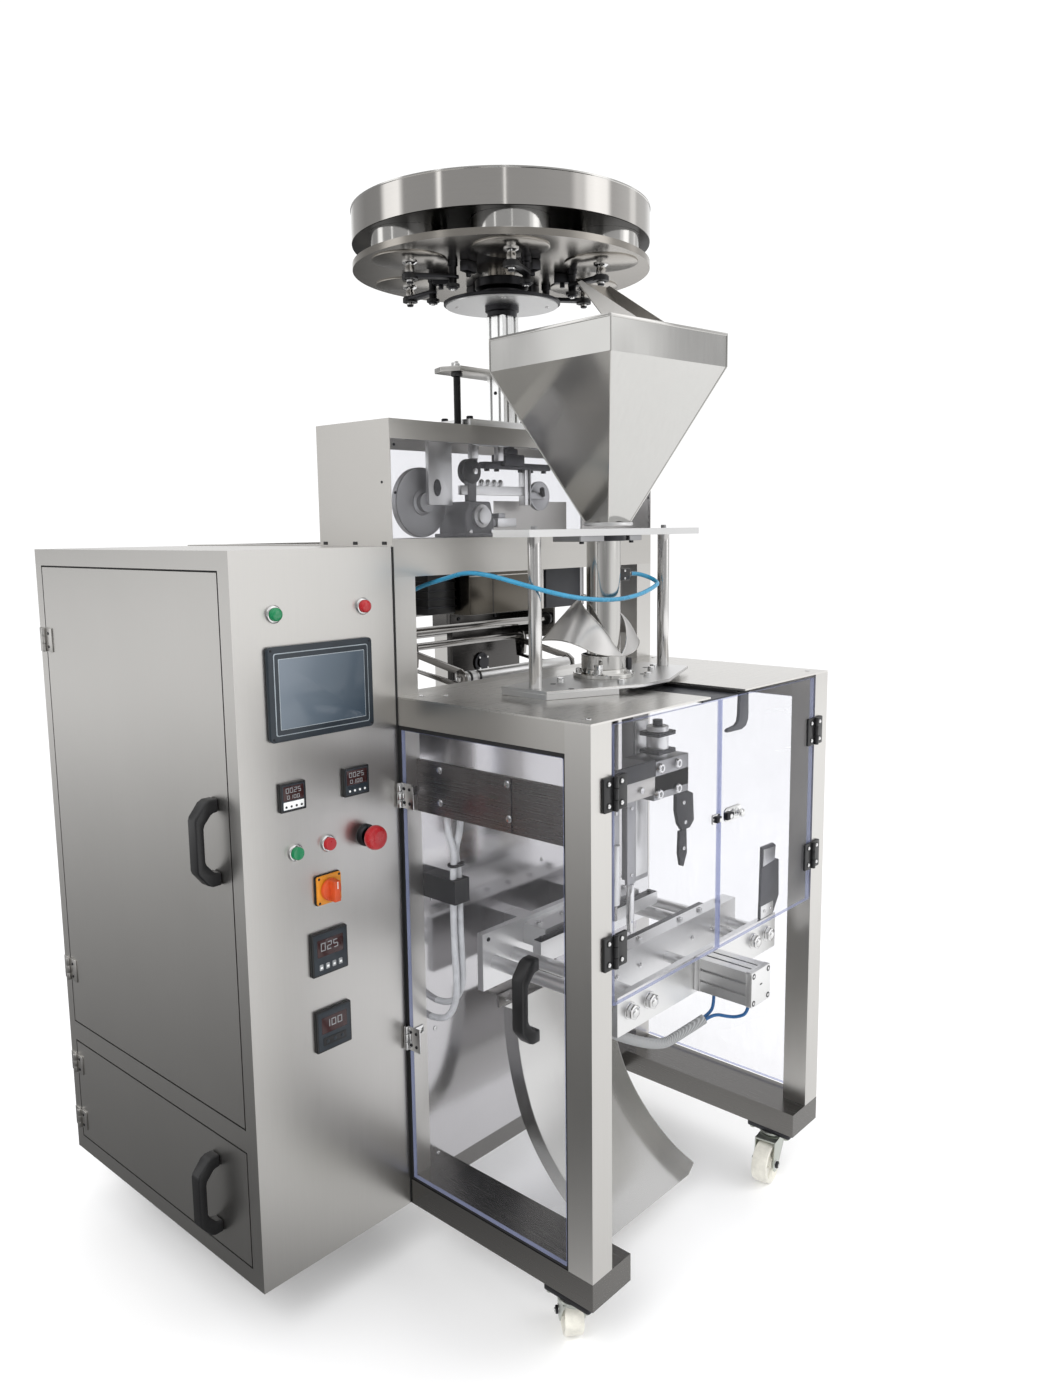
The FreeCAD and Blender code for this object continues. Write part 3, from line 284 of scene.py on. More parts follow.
M["housing"] = plastic("screen_housing", (0.017, 0.024, 0.032), 0.34)
M["green"] = plastic("green_lens", (0.0, 0.20, 0.07), 0.22, 200, 0.03, 0.6, 0.1, 0.5)
M["red"] = plastic("red_cap", (0.42, 0.012, 0.018), 0.30, 400, 0.03, 0.5, 0.1, 0.4)
M["orange"] = plastic("orange_red_knob", (0.56, 0.075, 0.018), 0.35)
M["yellow"] = plastic("yellow_plate", (0.66, 0.25, 0.015), 0.35)
M["white"] = plastic("white_marks", (0.85, 0.86, 0.86), 0.5)
M["blue"] = plastic("blue_tube", (0.035, 0.27, 0.46), 0.28, 200, 0.03, 0.5, 0.1, 0.3)
M["navy"] = plastic("dark_blue_tube", (0.01, 0.10, 0.28), 0.30, 200, 0.03, 0.5, 0.1, 0.3)
M["conduit"] = plastic("grey_conduit", (0.55, 0.56, 0.57), 0.42, 200, 0.05)
M["brass"] = steel("brass", base=(0.70, 0.48, 0.18), rough=(0.2, 0.3))
M["clear_x"] = clear("clear_sheet_side", axis="X")
M["clear_y"] = clear("clear_sheet_front", axis="Y")
M["clear_fixed"] = clear("clear_sheet_fixed", axis="XY", haze=0.025)
M["collar"] = steel("steel_collar", grain=(20, 20, 20), base=(0.66, 0.65, 0.64), rough=(0.30, 0.38), bumpy=0.01)
M["brown_steel"] = steel("steel_motor_case", grain=(6, 120, 120), base=(0.11, 0.10, 0.085), rough=(0.16, 0.26), bumpy=0.02, cloud=0.25)
M["chrome_soft"] = steel("ground_rod", grain=(10, 10, 90), base=(0.70, 0.69, 0.68), rough=(0.12, 0.2), bumpy=0.01)
M["beam_dark"] = steel("steel_side_beam", grain=(240, 4, 240), base=(0.215, 0.20, 0.195), rough=(0.22, 0.34), bumpy=0.01)
# base frame steel is darkened well below the other steel: painted shade and dark reflection for the low rails
M["base_steel"] = steel("steel_base_frame", grain=(240, 4, 240), base=(0.19, 0.184, 0.176), rough=(0.20, 0.32), bumpy=0.03)
M["slot_lining"] = plastic("slot_lining", (0.035, 0.037, 0.045), 0.42, 300, 0.1)
M["column"] = steel("column_bright", grain=(180, 180, 8), base=(0.93, 0.935, 0.93), rough=(0.22, 0.32), bumpy=0.01)
M["chute"] = steel("steel_chute", grain=(90, 90, 8), base=(0.62, 0.615, 0.60), rough=(0.16, 0.24), bumpy=0.005)


def ribbed(name, col, pitch):
    """Ribbed conduit: rings round the hose from its position along the run."""
    m, nt_, b = new_mat(name)
    tc_ = N(nt_, "ShaderNodeTexCoord")
    sp_ = N(nt_, "ShaderNodeSeparateXYZ")
    L(nt_, tc_.outputs["Object"], sp_.inputs[0])
    d1 = N(nt_, "ShaderNodeMath", operation="SUBTRACT")
    L(nt_, sp_.outputs["X"], d1.inputs[0])
    L(nt_, sp_.outputs["Z"], d1.inputs[1])
    d2 = N(nt_, "ShaderNodeMath", operation="MULTIPLY")
    L(nt_, d1.outputs[0], d2.inputs[0])
    d2.inputs[1].default_value = 2 * math.pi / pitch
    d3 = N(nt_, "ShaderNodeMath", operation="SINE")
    L(nt_, d2.outputs[0], d3.inputs[0])
    L(nt_, mixcol(nt_, remap(nt_, d3.outputs[0], 0, 1, -1, 1), tuple(v * 0.55 for v in col), col), b.inputs["Base Color"])
    b.inputs["Roughness"].default_value = 0.42
    bump(nt_, b, d3.outputs[0], 0.7, 0.0012)
    return m


M["conduit_ribbed"] = ribbed("grey_conduit_ribbed", (0.50, 0.51, 0.52), 0.0052)
# chrome with its base colour darkened: a painted dark reflection of the surroundings
M["chrome_painted_dark_reflection"] = steel("chrome_painted_dark_reflection", grain=(4, 120, 120), base=(0.34, 0.33, 0.32), rough=(0.08, 0.16), bumpy=0.02)
M["dark_plate"] = steel("dark_plate", grain=(4, 120, 120), base=(0.075, 0.072, 0.07), rough=(0.2, 0.32), bumpy=0.0)
M["dark_sheet"] = steel("dark_sheet", grain=(120, 4, 120), base=(0.13, 0.125, 0.12), rough=(0.2, 0.35), bumpy=0.02)


def paint(node, mat):
    o = NODES[node]
    o.data.materials.clear()
    o.data.materials.append(mat)


DEFAULT = {
    "frame_uprights": "steel_v", "base_frame": "base_steel", "frame_rails": "steel_x", "table_top": "table", "back_sheet": "backsheet",
    "fixed_clear_guards": "clear_fixed", "cabinet_shell": "steel_v", "cabinet_door_upper": "steel_v", "cabinet_door_lower": "steel_v",
    "cabinet_door_upper_fittings": "black", "cabinet_door_lower_fittings": "black", "touch_panel": "housing", "temperature_controllers": "black",
    "panel_fittings": "chrome", "emergency_stop_button": "red", "main_switch_knob": "orange", "side_door_left": "clear_x", "side_door_left_fittings": "black",
    "front_door_left": "clear_y", "front_door_right": "clear_y", "front_door_left_fittings": "black", "front_door_right_fittings": "black",
    "frame_hinge_leaves": "black", "caster_plates": "dark", "jaw_frame": "alu", "jaw_cylinder": "alu", "front_jaw": "alu", "rear_jaw": "alu",
    "side_beams": "beam_dark", "vertical_sealer": "alu_dark", "discharge_chute": "bright", "upper_box": "steel_x", "drive_unit": "alu_dark",
    "turntable_column": "alu", "turntable_tray": "ring", "turntable_cups": "bright", "turntable_disc": "disc", "turntable_flaps": "bright",
    "feed_chute": "steel_v", "hopper": "hopper", "tube_stand": "alu", "forming_tube": "bright", "forming_collar": "bright",
    "film_guide_bars": "chrome", "film_roller": "alu", "hose_clamp": "black", "air_hose": "blue", "jaw_conduit": "conduit",
    "jaw_air_tube_rear": "navy", "jaw_air_tube_front": "navy", "chamber_hose_a": "conduit", "chamber_hose_b": "conduit",
}
for n_ in ("front_left", "front_right", "rear_left", "rear_right"):
    DEFAULT["caster_fork_" + n_] = "zinc"
    DEFAULT["caster_wheel_" + n_] = "nylon"
for n_, k_ in DEFAULT.items():
    paint(n_, M[k_])


# ------------------------------------------------------------------ cords
def cord(name, node, pts, dia, mat, bevel_res=6):
    cu = bpy.data.curves.new(name, "CURVE")
    cu.dimensions = "3D"
    sp = cu.splines.new("NURBS")
    sp.points.add(len(pts) - 1)
    for p, c in zip(sp.points, pts):
        v = P(*c)
        p.co = (v.x, v.y, v.z, 1)
    sp.order_u = 3
    sp.use_endpoint_u = True
    cu.resolution_u = 10
    cu.bevel_depth = dia / 2000
    cu.bevel_resolution = bevel_res
    cu.use_fill_caps = True
    cu.materials.append(mat)
    ob = bpy.data.objects.new(name, cu)
    bpy.context.scene.collection.objects.link(ob)
    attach(ob, "machine")
    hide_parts(node)
    return ob


AIR_HOSE = [(414, -190, 1251), (432, -190, 1251), (444.6, -196.8, 1248.3), (451.8, -208.4, 1243.7), (451.8, -221.9, 1238.3), (444.6, -233.6, 1233.6), (432, -240.3, 1230.8),
            (405, -246.4, 1224.5), (360, -252, 1216), (290, -254, 1211), (210, -249, 1217), (150, -234, 1229), (108, -196, 1246), (92, -135, 1261), (98, -75, 1264),
            (106, -20, 1252), (104, 40, 1238), (84, 88, 1214), (54, 112, 1186), (10, 112, 1186)]
JAW_CONDUIT = [(72, -352, 841), (72, -352, 700), (72, -350, 540), (244, -376.5, 438.5), (312, -384.5, 443.5), (352, -404, 462)]
JAW_TUBE_REAR = [(353.75, -400.4, 462), (366.1, -406.4, 468), (374, -410.2, 481.4), (374, -410.2, 503)]
JAW_TUBE_FRONT = [(350.25, -407.6, 462), (366.7, -415.6, 470), (380, -436, 466), (386, -452, 468), (388, -471, 480), (388, -474, 503)]
CHAMBER_A = [(62, -52, 862), (62, -52, 812), (65, -69, 772), (61, -66, 732), (61, -66, 600), (61, -72, 520), (61, -62, 479), (61, -34, 449), (61, 0, 447)]
CHAMBER_B = [(76, -74, 862), (76, -74, 812), (77, -56, 772), (77, -66, 732), (77, -66, 610), (77, -72, 540), (77, -62, 503), (77, -34, 475), (77, 0, 473)]
cord("air_hose_run", "air_hose", AIR_HOSE, 8, M["blue"])
cord("jaw_conduit_run", "jaw_conduit", JAW_CONDUIT, 18, M["conduit_ribbed"])
cord("jaw_tube_rear_run", "jaw_air_tube_rear", JAW_TUBE_REAR, 6, M["navy"])
cord("jaw_tube_front_run", "jaw_air_tube_front", JAW_TUBE_FRONT, 6, M["navy"])
cord("chamber_hose_a_run", "chamber_hose_a", CHAMBER_A, 12, M["conduit"])
cord("chamber_hose_b_run", "chamber_hose_b", CHAMBER_B, 12, M["conduit"])

# ------------------------------------------------------------------ stage and light
fm, fnt, fb = new_mat("floor_white")
fb.inputs["Base Color"].default_value = (0.93, 0.93, 0.935, 1)
L(fnt, remap(fnt, noise(fnt, coords(fnt, (1, 1, 1)), 1.5, 3, 0.5), 0.22, 0.28), fb.inputs["Roughness"])
fb.inputs["Specular IOR Level"].default_value = 0.35
fb.inputs["Emission Color"].default_value = (1, 1, 1, 1)
fb.inputs["Emission Strength"].default_value = 0.12
fo = fnt.nodes["Material Output"]
# glossy rays see the floor as an emission ramp of bright and dark bands by position: a painted reflection of the floor,
# not lit by the lamps
flp = N(fnt, "ShaderNodeLightPath")
ftc = N(fnt, "ShaderNodeTexCoord")
fdot = N(fnt, "ShaderNodeVectorMath", operation="DOT_PRODUCT")
fdot.inputs[1].default_value = (0.74, -0.67, 0)
L(fnt, ftc.outputs["Object"], fdot.inputs[0])
fmr = N(fnt, "ShaderNodeMapRange")
fmr.inputs["From Min"].default_value = -7.0
fmr.inputs["From Max"].default_value = 5.0
L(fnt, fdot.outputs["Value"], fmr.inputs["Value"])
frp = N(fnt, "ShaderNodeValToRGB")
fe_ = frp.color_ramp.elements
fe_[0].position, fe_[0].color = 0.0, (.95, .95, .95, 1)
fe_[1].position, fe_[1].color = 1.0, (1.35, 1.35, 1.35, 1)
for d_, v_ in ((-4.6, .58), (-3.0, .40), (-1.2, .17), (-0.5, .10), (-0.1, .35), (0.2, .78), (0.6, .95), (1.3, 1.05), (2.5, 1.2)):
    fq = fe_.new((d_ + 7.0) / 12.0)
    fq.color = (v_, v_, v_, 1)
L(fnt, fmr.outputs[0], frp.inputs[0])
fem = N(fnt, "ShaderNodeEmission")
L(fnt, frp.outputs[0], fem.inputs["Color"])
fmx = N(fnt, "ShaderNodeMixShader")
L(fnt, flp.outputs["Is Glossy Ray"], fmx.inputs[0])
L(fnt, fb.outputs[0], fmx.inputs[1])
L(fnt, fem.outputs[0], fmx.inputs[2])
L(fnt, fmx.outputs[0], fo.inputs["Surface"])
me = bpy.data.meshes.new("floor")
fl = bpy.data.objects.new("floor", me)
bpy.context.scene.collection.objects.link(fl)
b_ = bmesh.new()
bmesh.ops.create_circle(b_, cap_ends=True, segments=128, radius=9.0)
b_.to_mesh(me)
b_.free()
fl.location = (0, 0, -0.0005)
me.materials.append(fm)

w = bpy.data.worlds.new("studio")
bpy.context.scene.world = w
w.use_nodes = True
nt = w.node_tree
nt.nodes.clear()
out = N(nt, "ShaderNodeOutputWorld")
tc = N(nt, "ShaderNodeTexCoord")
sep = N(nt, "ShaderNodeSeparateXYZ")
L(nt, tc.outputs["Generated"], sep.inputs[0])
at = N(nt, "ShaderNodeMath", operation="ARCTAN2")
L(nt, sep.outputs["Y"], at.inputs[0])
L(nt, sep.outputs["X"], at.inputs[1])
dv = N(nt, "ShaderNodeMapRange")
dv.inputs["From Min"].default_value = -math.pi
dv.inputs["From Max"].default_value = math.pi
L(nt, at.outputs[0], dv.inputs["Value"])


def az(deg):
    return ((deg + 180) % 360) / 360


def room(stops, kind):
    """Brightness of the room round the horizon, by azimuth in degrees (0 = +X, 90 = +Y)."""
    ramp = N(nt, "ShaderNodeValToRGB")
    ramp.color_ramp.interpolation = kind
    el = ramp.color_ramp.elements
    while len(el) > 2:
        el.remove(el[-1])
    el[0].position, el[0].color = 0.0, (stops[0][1],) * 3 + (1,)
    el[1].position, el[1].color = 1.0, (stops[-1][1],) * 3 + (1,)
    for d_, v_ in stops[1:-1]:
        e = el.new(az(d_))
        e.color = (v_, v_, v_, 1)
    L(nt, dv.outputs[0], ramp.inputs[0])
    return ramp


# what upright faces see: long lights with darker gaps; what faces that look up see: the same, softer and brighter
low = room([(-180, .75), (-160, .45), (-135, .28), (-112, .35), (-90, 1.0), (-70, 1.35), (-42, 1.35), (-15, 1.2), (10, .8), (28, .15), (55, .12), (80, .4), (110, .9), (125, 1.25), (150, 1.25), (168, .95), (179.9, .75)], "B_SPLINE")
high = room([(-180, .42), (-136.5, .42), (-135, .44), (-133.8, 1.9), (-132.6, .44), (-112, .46), (-84, .52), (-79, .95), (-73, .95), (-69, 1.5), (-62, 1.7), (-51, 1.6), (-46, .60), (-25, .75), (-21, 1.1),
             (-16, 1.1), (-12, .7), (5, .7), (20, 1.0), (62, 1.0), (75, .5), (100, .32), (122, .36), (128, 1.35), (142, 1.5), (147, .44), (175, .42), (176.8, 1.6), (178.4, 1.6), (179.9, .42)], "LINEAR")
lh = N(nt, "ShaderNodeMapRange")
lh.interpolation_type = "SMOOTHSTEP"
lh.inputs["From Min"].default_value = -0.06
lh.inputs["From Max"].default_value = 0.04
L(nt, sep.outputs["Z"], lh.inputs["Value"])
ramp = N(nt, "ShaderNodeMix", data_type="RGBA")
L(nt, lh.outputs[0], ramp.inputs[0])
L(nt, low.outputs[0], ramp.inputs[6])
L(nt, high.outputs[0], ramp.inputs[7])
# overhead: a large soft light, fading to the bands at the sides
up = N(nt, "ShaderNodeMapRange")
up.interpolation_type = "SMOOTHSTEP"
up.inputs["From Min"].default_value = 0.30
up.inputs["From Max"].default_value = 0.75
L(nt, sep.outputs["Z"], up.inputs["Value"])
sky = N(nt, "ShaderNodeMix", data_type="RGBA")
L(nt, up.outputs[0], sky.inputs[0])
L(nt, ramp.outputs[2], sky.inputs[6])
sky.inputs[7].default_value = (1.1, 1.1, 1.1, 1)
bg_gloss = N(nt, "ShaderNodeBackground")
L(nt, sky.outputs[2], bg_gloss.inputs["Color"])
bg_gloss.inputs["Strength"].default_value = 0.95
bg_flat = N(nt, "ShaderNodeBackground")
bg_flat.inputs["Color"].default_value = (1, 1, 1, 1)
bg_flat.inputs["Strength"].default_value = 1.08
lp = N(nt, "ShaderNodeLightPath")
mx = N(nt, "ShaderNodeMixShader")
L(nt, lp.outputs["Is Glossy Ray"], mx.inputs[0])
L(nt, bg_flat.outputs[0], mx.inputs[1])
L(nt, bg_gloss.outputs[0], mx.inputs[2])
L(nt, mx.outputs[0], out.inputs["Surface"])


def area(name, loc, target, size, power, size_y=None):
    la = bpy.data.lights.new(name, "AREA")
    la.energy = power
    la.shape = "RECTANGLE"
    la.size = size
    la.size_y = size_y or size
    ob = bpy.data.objects.new(name, la)
    bpy.context.scene.collection.objects.link(ob)
    ob.location = loc
    ob.visible_glossy = False
    ob.rotation_euler = (Vector(target) - Vector(loc)).to_track_quat("-Z", "Y").to_euler()
    return ob


area("key", (-3.2, -1.2, 3.6), (0, 0, 0.9), 2.0, 60)
area("fill", (2.2, -3.2, 3.0), (0, 0, 0.8), 2.0, 40)


# ------------------------------------------------------------------ mesh helpers: all lengths in machine millimetres
def place_bm(bm, mat):
    bmesh.ops.transform(bm, matrix=mat, verts=bm.verts)
    return bm


def frame_to(a, b):
    """Matrix that takes +Z at the origin to the line from a to b."""
    a, b = Vector(a), Vector(b)
    q = (b - a).normalized().to_track_quat("Z", "Y")
    return Matrix.Translation(a) @ q.to_matrix().to_4x4()


def bevel_sharp(bm, w, seg=2, angle=35):
    if w <= 0:
        return bm
    bm.normal_update()
    es = [e for e in bm.edges if len(e.link_faces) == 2 and e.calc_face_angle(0) > math.radians(angle)]
    if es:
        bmesh.ops.bevel(bm, geom=es, offset=w, segments=seg, affect="EDGES", profile=0.5, clamp_overlap=True)
    return bm


def box(x0, x1, y0, y1, z0, z1, bev=0.8, seg=2):
    bm = bmesh.new()
    bmesh.ops.create_cube(bm, size=1.0)
    for v in bm.verts:
        v.co = Vector((x0 if v.co.x < 0 else x1, y0 if v.co.y < 0 else y1, z0 if v.co.z < 0 else z1))
    return bevel_sharp(bm, min(bev, 0.45 * min(abs(x1 - x0), abs(y1 - y0), abs(z1 - z0))), seg)


def cyl(a, b, r, r2=None, seg=40, bev=0.5):
    h = (Vector(b) - Vector(a)).length
    bm = bmesh.new()
    bmesh.ops.create_cone(bm, cap_ends=True, segments=seg, radius1=r, radius2=r if r2 is None else r2, depth=h)
    for v in bm.verts:
        v.co.z += h / 2
    bevel_sharp(bm, min(bev, 0.4 * h, 0.4 * r), 2, 50)
    return place_bm(bm, frame_to(a, b))


def lathe(profile, a, b, seg=48):
    """Turns a profile of (radius, distance from a towards b)."""
    bm = bmesh.new()
    rings = []
    for r, h in profile:
        if r < 1e-4:
            rings.append([bm.verts.new((0, 0, h))])
        else:
            rings.append([bm.verts.new((r * math.cos(2 * math.pi * k / seg), r * math.sin(2 * math.pi * k / seg), h)) for k in range(seg)])
    for p, q in zip(rings, rings[1:]):
        for k in range(seg):
            k2 = (k + 1) % seg
            if len(p) == 1 and len(q) == 1:
                continue
            if len(p) == 1:
                bm.faces.new((p[0], q[k2], q[k]))
            elif len(q) == 1:
                bm.faces.new((p[k], p[k2], q[0]))
            else:
                bm.faces.new((p[k], p[k2], q[k2], q[k]))
    bmesh.ops.recalc_face_normals(bm, faces=bm.faces)
    return place_bm(bm, frame_to(a, b))


def extr(points, plane, w0, w1, bev=0.6, seg=2):
    """A closed outline in plane 'xy', 'xz' or 'yz', drawn out along the third axis from w0 to w1."""
    bm = bmesh.new()

    def at(u, v, w):
        return {"xy": (u, v, w), "xz": (u, w, v), "yz": (w, u, v)}[plane]

    lo = [bm.verts.new(at(u, v, w0)) for u, v in points]
    hi = [bm.verts.new(at(u, v, w1)) for u, v in points]
    bm.faces.new(lo)
    bm.faces.new(hi[::-1])
    n = len(points)
    for k in range(n):
        bm.faces.new((lo[(k + 1) % n], lo[k], hi[k], hi[(k + 1) % n]))
    bmesh.ops.recalc_face_normals(bm, faces=bm.faces)
    return bevel_sharp(bm, bev, seg, 40)


def rrect(u0, u1, v0, v1, r, n=6):
    pts = []
    for cu_, cv_, a0 in ((u1 - r, v1 - r, 0), (u0 + r, v1 - r, 90), (u0 + r, v0 + r, 180), (u1 - r, v0 + r, 270)):
        for k in range(n + 1):
            a = math.radians(a0 + 90 * k / n)
            pts.append((cu_ + r * math.cos(a), cv_ + r * math.sin(a)))
    return pts


def smooth_path(pts, n=6):
    P_ = [Vector(p) for p in pts]
    out_ = []
    for i in range(len(P_) - 1):
        p0, p1, p2, p3 = P_[max(i - 1, 0)], P_[i], P_[i + 1], P_[min(i + 2, len(P_) - 1)]
        for k in range(n):
            t = k / n
            out_.append(0.5 * ((2 * p1) + (p2 - p0) * t + (2 * p0 - 5 * p1 + 4 * p2 - p3) * t * t + (3 * p1 - p0 - 3 * p2 + p3) * t ** 3))
    out_.append(P_[-1])
    return out_


def tube(pts, r, seg=12, n=6, radii=None):
    path = smooth_path(pts, n) if n > 1 else [Vector(p) for p in pts]
    bm = bmesh.new()
    rings = []
    up_ = Vector((0, 0, 1))
    prev = None
    for i, p in enumerate(path):
        t = (path[min(i + 1, len(path) - 1)] - path[max(i - 1, 0)]).normalized()
        if prev is None:
            u = t.cross(up_)
            if u.length < 0.1:
                u = t.cross(Vector((1, 0, 0)))
        else:
            u = prev - t * prev.dot(t)
        u.normalize()
        prev = u
        v = t.cross(u)
        rr = r if radii is None else radii(i / (len(path) - 1)) * r
        rings.append([bm.verts.new(p + (u * math.cos(2 * math.pi * k / seg) + v * math.sin(2 * math.pi * k / seg)) * rr) for k in range(seg)])
    for a, b in zip(rings, rings[1:]):
        for k in range(seg):
            bm.faces.new((a[k], a[(k + 1) % seg], b[(k + 1) % seg], b[k]))
    bm.faces.new(rings[0][::-1])
    bm.faces.new(rings[-1])
    bmesh.ops.recalc_face_normals(bm, faces=bm.faces)
    return bm


def hexhead(p, d, af, h, rot=0):
    """Hexagon head on point p, standing out along d."""
    bm = bmesh.new()
    bmesh.ops.create_cone(bm, cap_ends=True, segments=6, radius1=af / 1.732, radius2=af / 1.732, depth=h)
    for v in bm.verts:
        v.co.z += h / 2
    bevel_sharp(bm, 0.08 * af, 2, 30)
    d = Vector(d)
    return place_bm(bm, frame_to(p, Vector(p) + d) @ Matrix.Rotation(rot, 4, "Z"))


def dome(p, d, r, h, seg=20):
    d = Vector(d).normalized()
    prof = [(r, 0)] + [(r * math.cos(a), h * math.sin(a)) for a in (0.25, 0.6, 0.95, 1.25)] + [(0, h)]
    return lathe(prof, p, Vector(p) + d, seg)


def screw(p, d, r=4, h=2.2):
    """Pan head with a socket."""
    d = Vector(d).normalized()
    prof = [(r, 0), (r, h * 0.4), (r * 0.86, h * 0.85), (r * 0.6, h), (r * 0.36, h), (r * 0.34, h * 0.45), (0, h * 0.45)]
    return lathe(prof, p, Vector(p) + d, 20)


class Piece:
    """Gathers shapes in machine millimetres, each with its material, into one object."""

    def __init__(self, name):
        self.name, self.v, self.f, self.mi, self.mats = name, [], [], [], []

    def add(self, bm, mat):
        m = M[mat]
        if m not in self.mats:
            self.mats.append(m)
        i = self.mats.index(m)
        base = len(self.v)
        bm.verts.index_update()
        self.v += [P(*v.co) for v in bm.verts]
        for f in bm.faces:
            self.f.append([base + v.index for v in f.verts])
            self.mi.append(i)
        bm.free()
        return self

    def make(self, body, slot, replaces=(), angle=32):
        me_ = bpy.data.meshes.new(self.name)
        me_.from_pydata([tuple(v) for v in self.v], [], self.f)
        for m in self.mats:
            me_.materials.append(m)
        me_.polygons.foreach_set("material_index", self.mi)
        me_.polygons.foreach_set("use_smooth", [True] * len(self.f))
        me_.update()
        me_.set_sharp_from_angle(angle=math.radians(angle))
        ob = bpy.data.objects.new(self.name, me_)
        bpy.context.scene.collection.objects.link(ob)
        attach(ob, body)
        if replaces:
            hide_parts(*replaces)
        return ob


SEG7 = {"0": "abcdef", "1": "bc", "2": "abged", "3": "abgcd", "4": "fgbc", "5": "afgcd", "6": "afgedc", "7": "abc", "8": "abcdefg", "9": "abfgcd", "-": "g"}


def digits(piece, text, x, y, z, w_, h_, mat, t=0.35):
    """Seven-bar digits on a face that looks towards -Y; x, z is the low left corner of the first."""
    s = 0.16 * w_
    for ch in text:
        for k in SEG7.get(ch, ""):
            r = {"a": (s, w_ - s, h_ - s, h_), "g": (s, w_ - s, h_ / 2 - s / 2, h_ / 2 + s / 2), "d": (s, w_ - s, 0, s),
                 "f": (0, s, h_ / 2, h_), "b": (w_ - s, w_, h_ / 2, h_), "e": (0, s, 0, h_ / 2), "c": (w_ - s, w_, 0, h_ / 2)}[k]
            piece.add(box(x + r[0], x + r[1], y - t, y, z + r[2], z + r[3], 0), mat)
        x += w_ * 1.35


# ------------------------------------------------------------------ control panel
M["screen"] = None
sm_, snt, sb = new_mat("screen_glass")
cr = N(snt, "ShaderNodeValToRGB")
cr.color_ramp.elements[0].position = 0.0
cr.color_ramp.elements[0].color = (0.12, 0.145, 0.175, 1)
cr.color_ramp.elements[1].position = 1.0
cr.color_ramp.elements[1].color = (0.024, 0.038, 0.055, 1)
e_ = cr.color_ramp.elements.new(0.55)
e_.color = (0.068, 0.088, 0.11, 1)
sx_ = N(snt, "ShaderNodeSeparateXYZ")
stc = N(snt, "ShaderNodeTexCoord")
L(snt, stc.outputs["Object"], sx_.inputs[0])
sa = N(snt, "ShaderNodeMath", operation="SUBTRACT")
L(snt, sx_.outputs["X"], sa.inputs[0])
sc2 = N(snt, "ShaderNodeMath", operation="MULTIPLY")
sc2.inputs[1].default_value = 0.45
L(snt, sx_.outputs["Z"], sc2.inputs[0])
L(snt, sc2.outputs[0], sa.inputs[1])
L(snt, remap(snt, sa.outputs[0], 0.0, 1.0, (-246 - OX) / 1000 - 1.142 * 0.45, (-76 - OX) / 1000 - 1.030 * 0.45), cr.inputs[0])
L(snt, cr.outputs[0], sb.inputs["Base Color"])
L(snt, cr.outputs[0], sb.inputs["Emission Color"])
sb.inputs["Emission Strength"].default_value = 0.35
sb.inputs["Roughness"].default_value = 0.12
M["screen"] = sm_
M["bezel_line"] = plastic("bezel_line", (0.30, 0.34, 0.37), 0.4)
M["dim"] = plastic("unlit_digit", (0.30, 0.31, 0.32), 0.4)
M["display"] = plastic("display_window", (0.035, 0.012, 0.012), 0.12)

p = Piece("touch_screen")
p.add(extr(rrect(-264, -58, 1011, 1161, 7), "xz", -8, 0, 1.6, 3), "housing")
p.add(extr(rrect(-254, -68, 1021, 1151, 4), "xz", -8.8, -7.5, 0.4), "bezel_line")
p.add(extr(rrect(-252.6, -69.4, 1022.4, 1149.6, 3.4), "xz", -9.0, -7.5, 0.3), "housing")
p.add(extr(rrect(-246, -76, 1030, 1142, 1.5), "xz", -9.3, -7.5, 0.3), "bezel_line")
p.add(extr(rrect(-244.8, -77.2, 1031.2, 1140.8, 1.2), "xz", -9.5, -7.5, 0.2), "screen")
for cx_ in (-258.5, -63.5):
    for cz_ in (1016.5, 1155.5):
        p.add(screw((cx_, -8.0, cz_), (0, -1, 0), 2.0, 0.8), "dark")
p.make("machine", "screen_housing", ["touch_panel"])

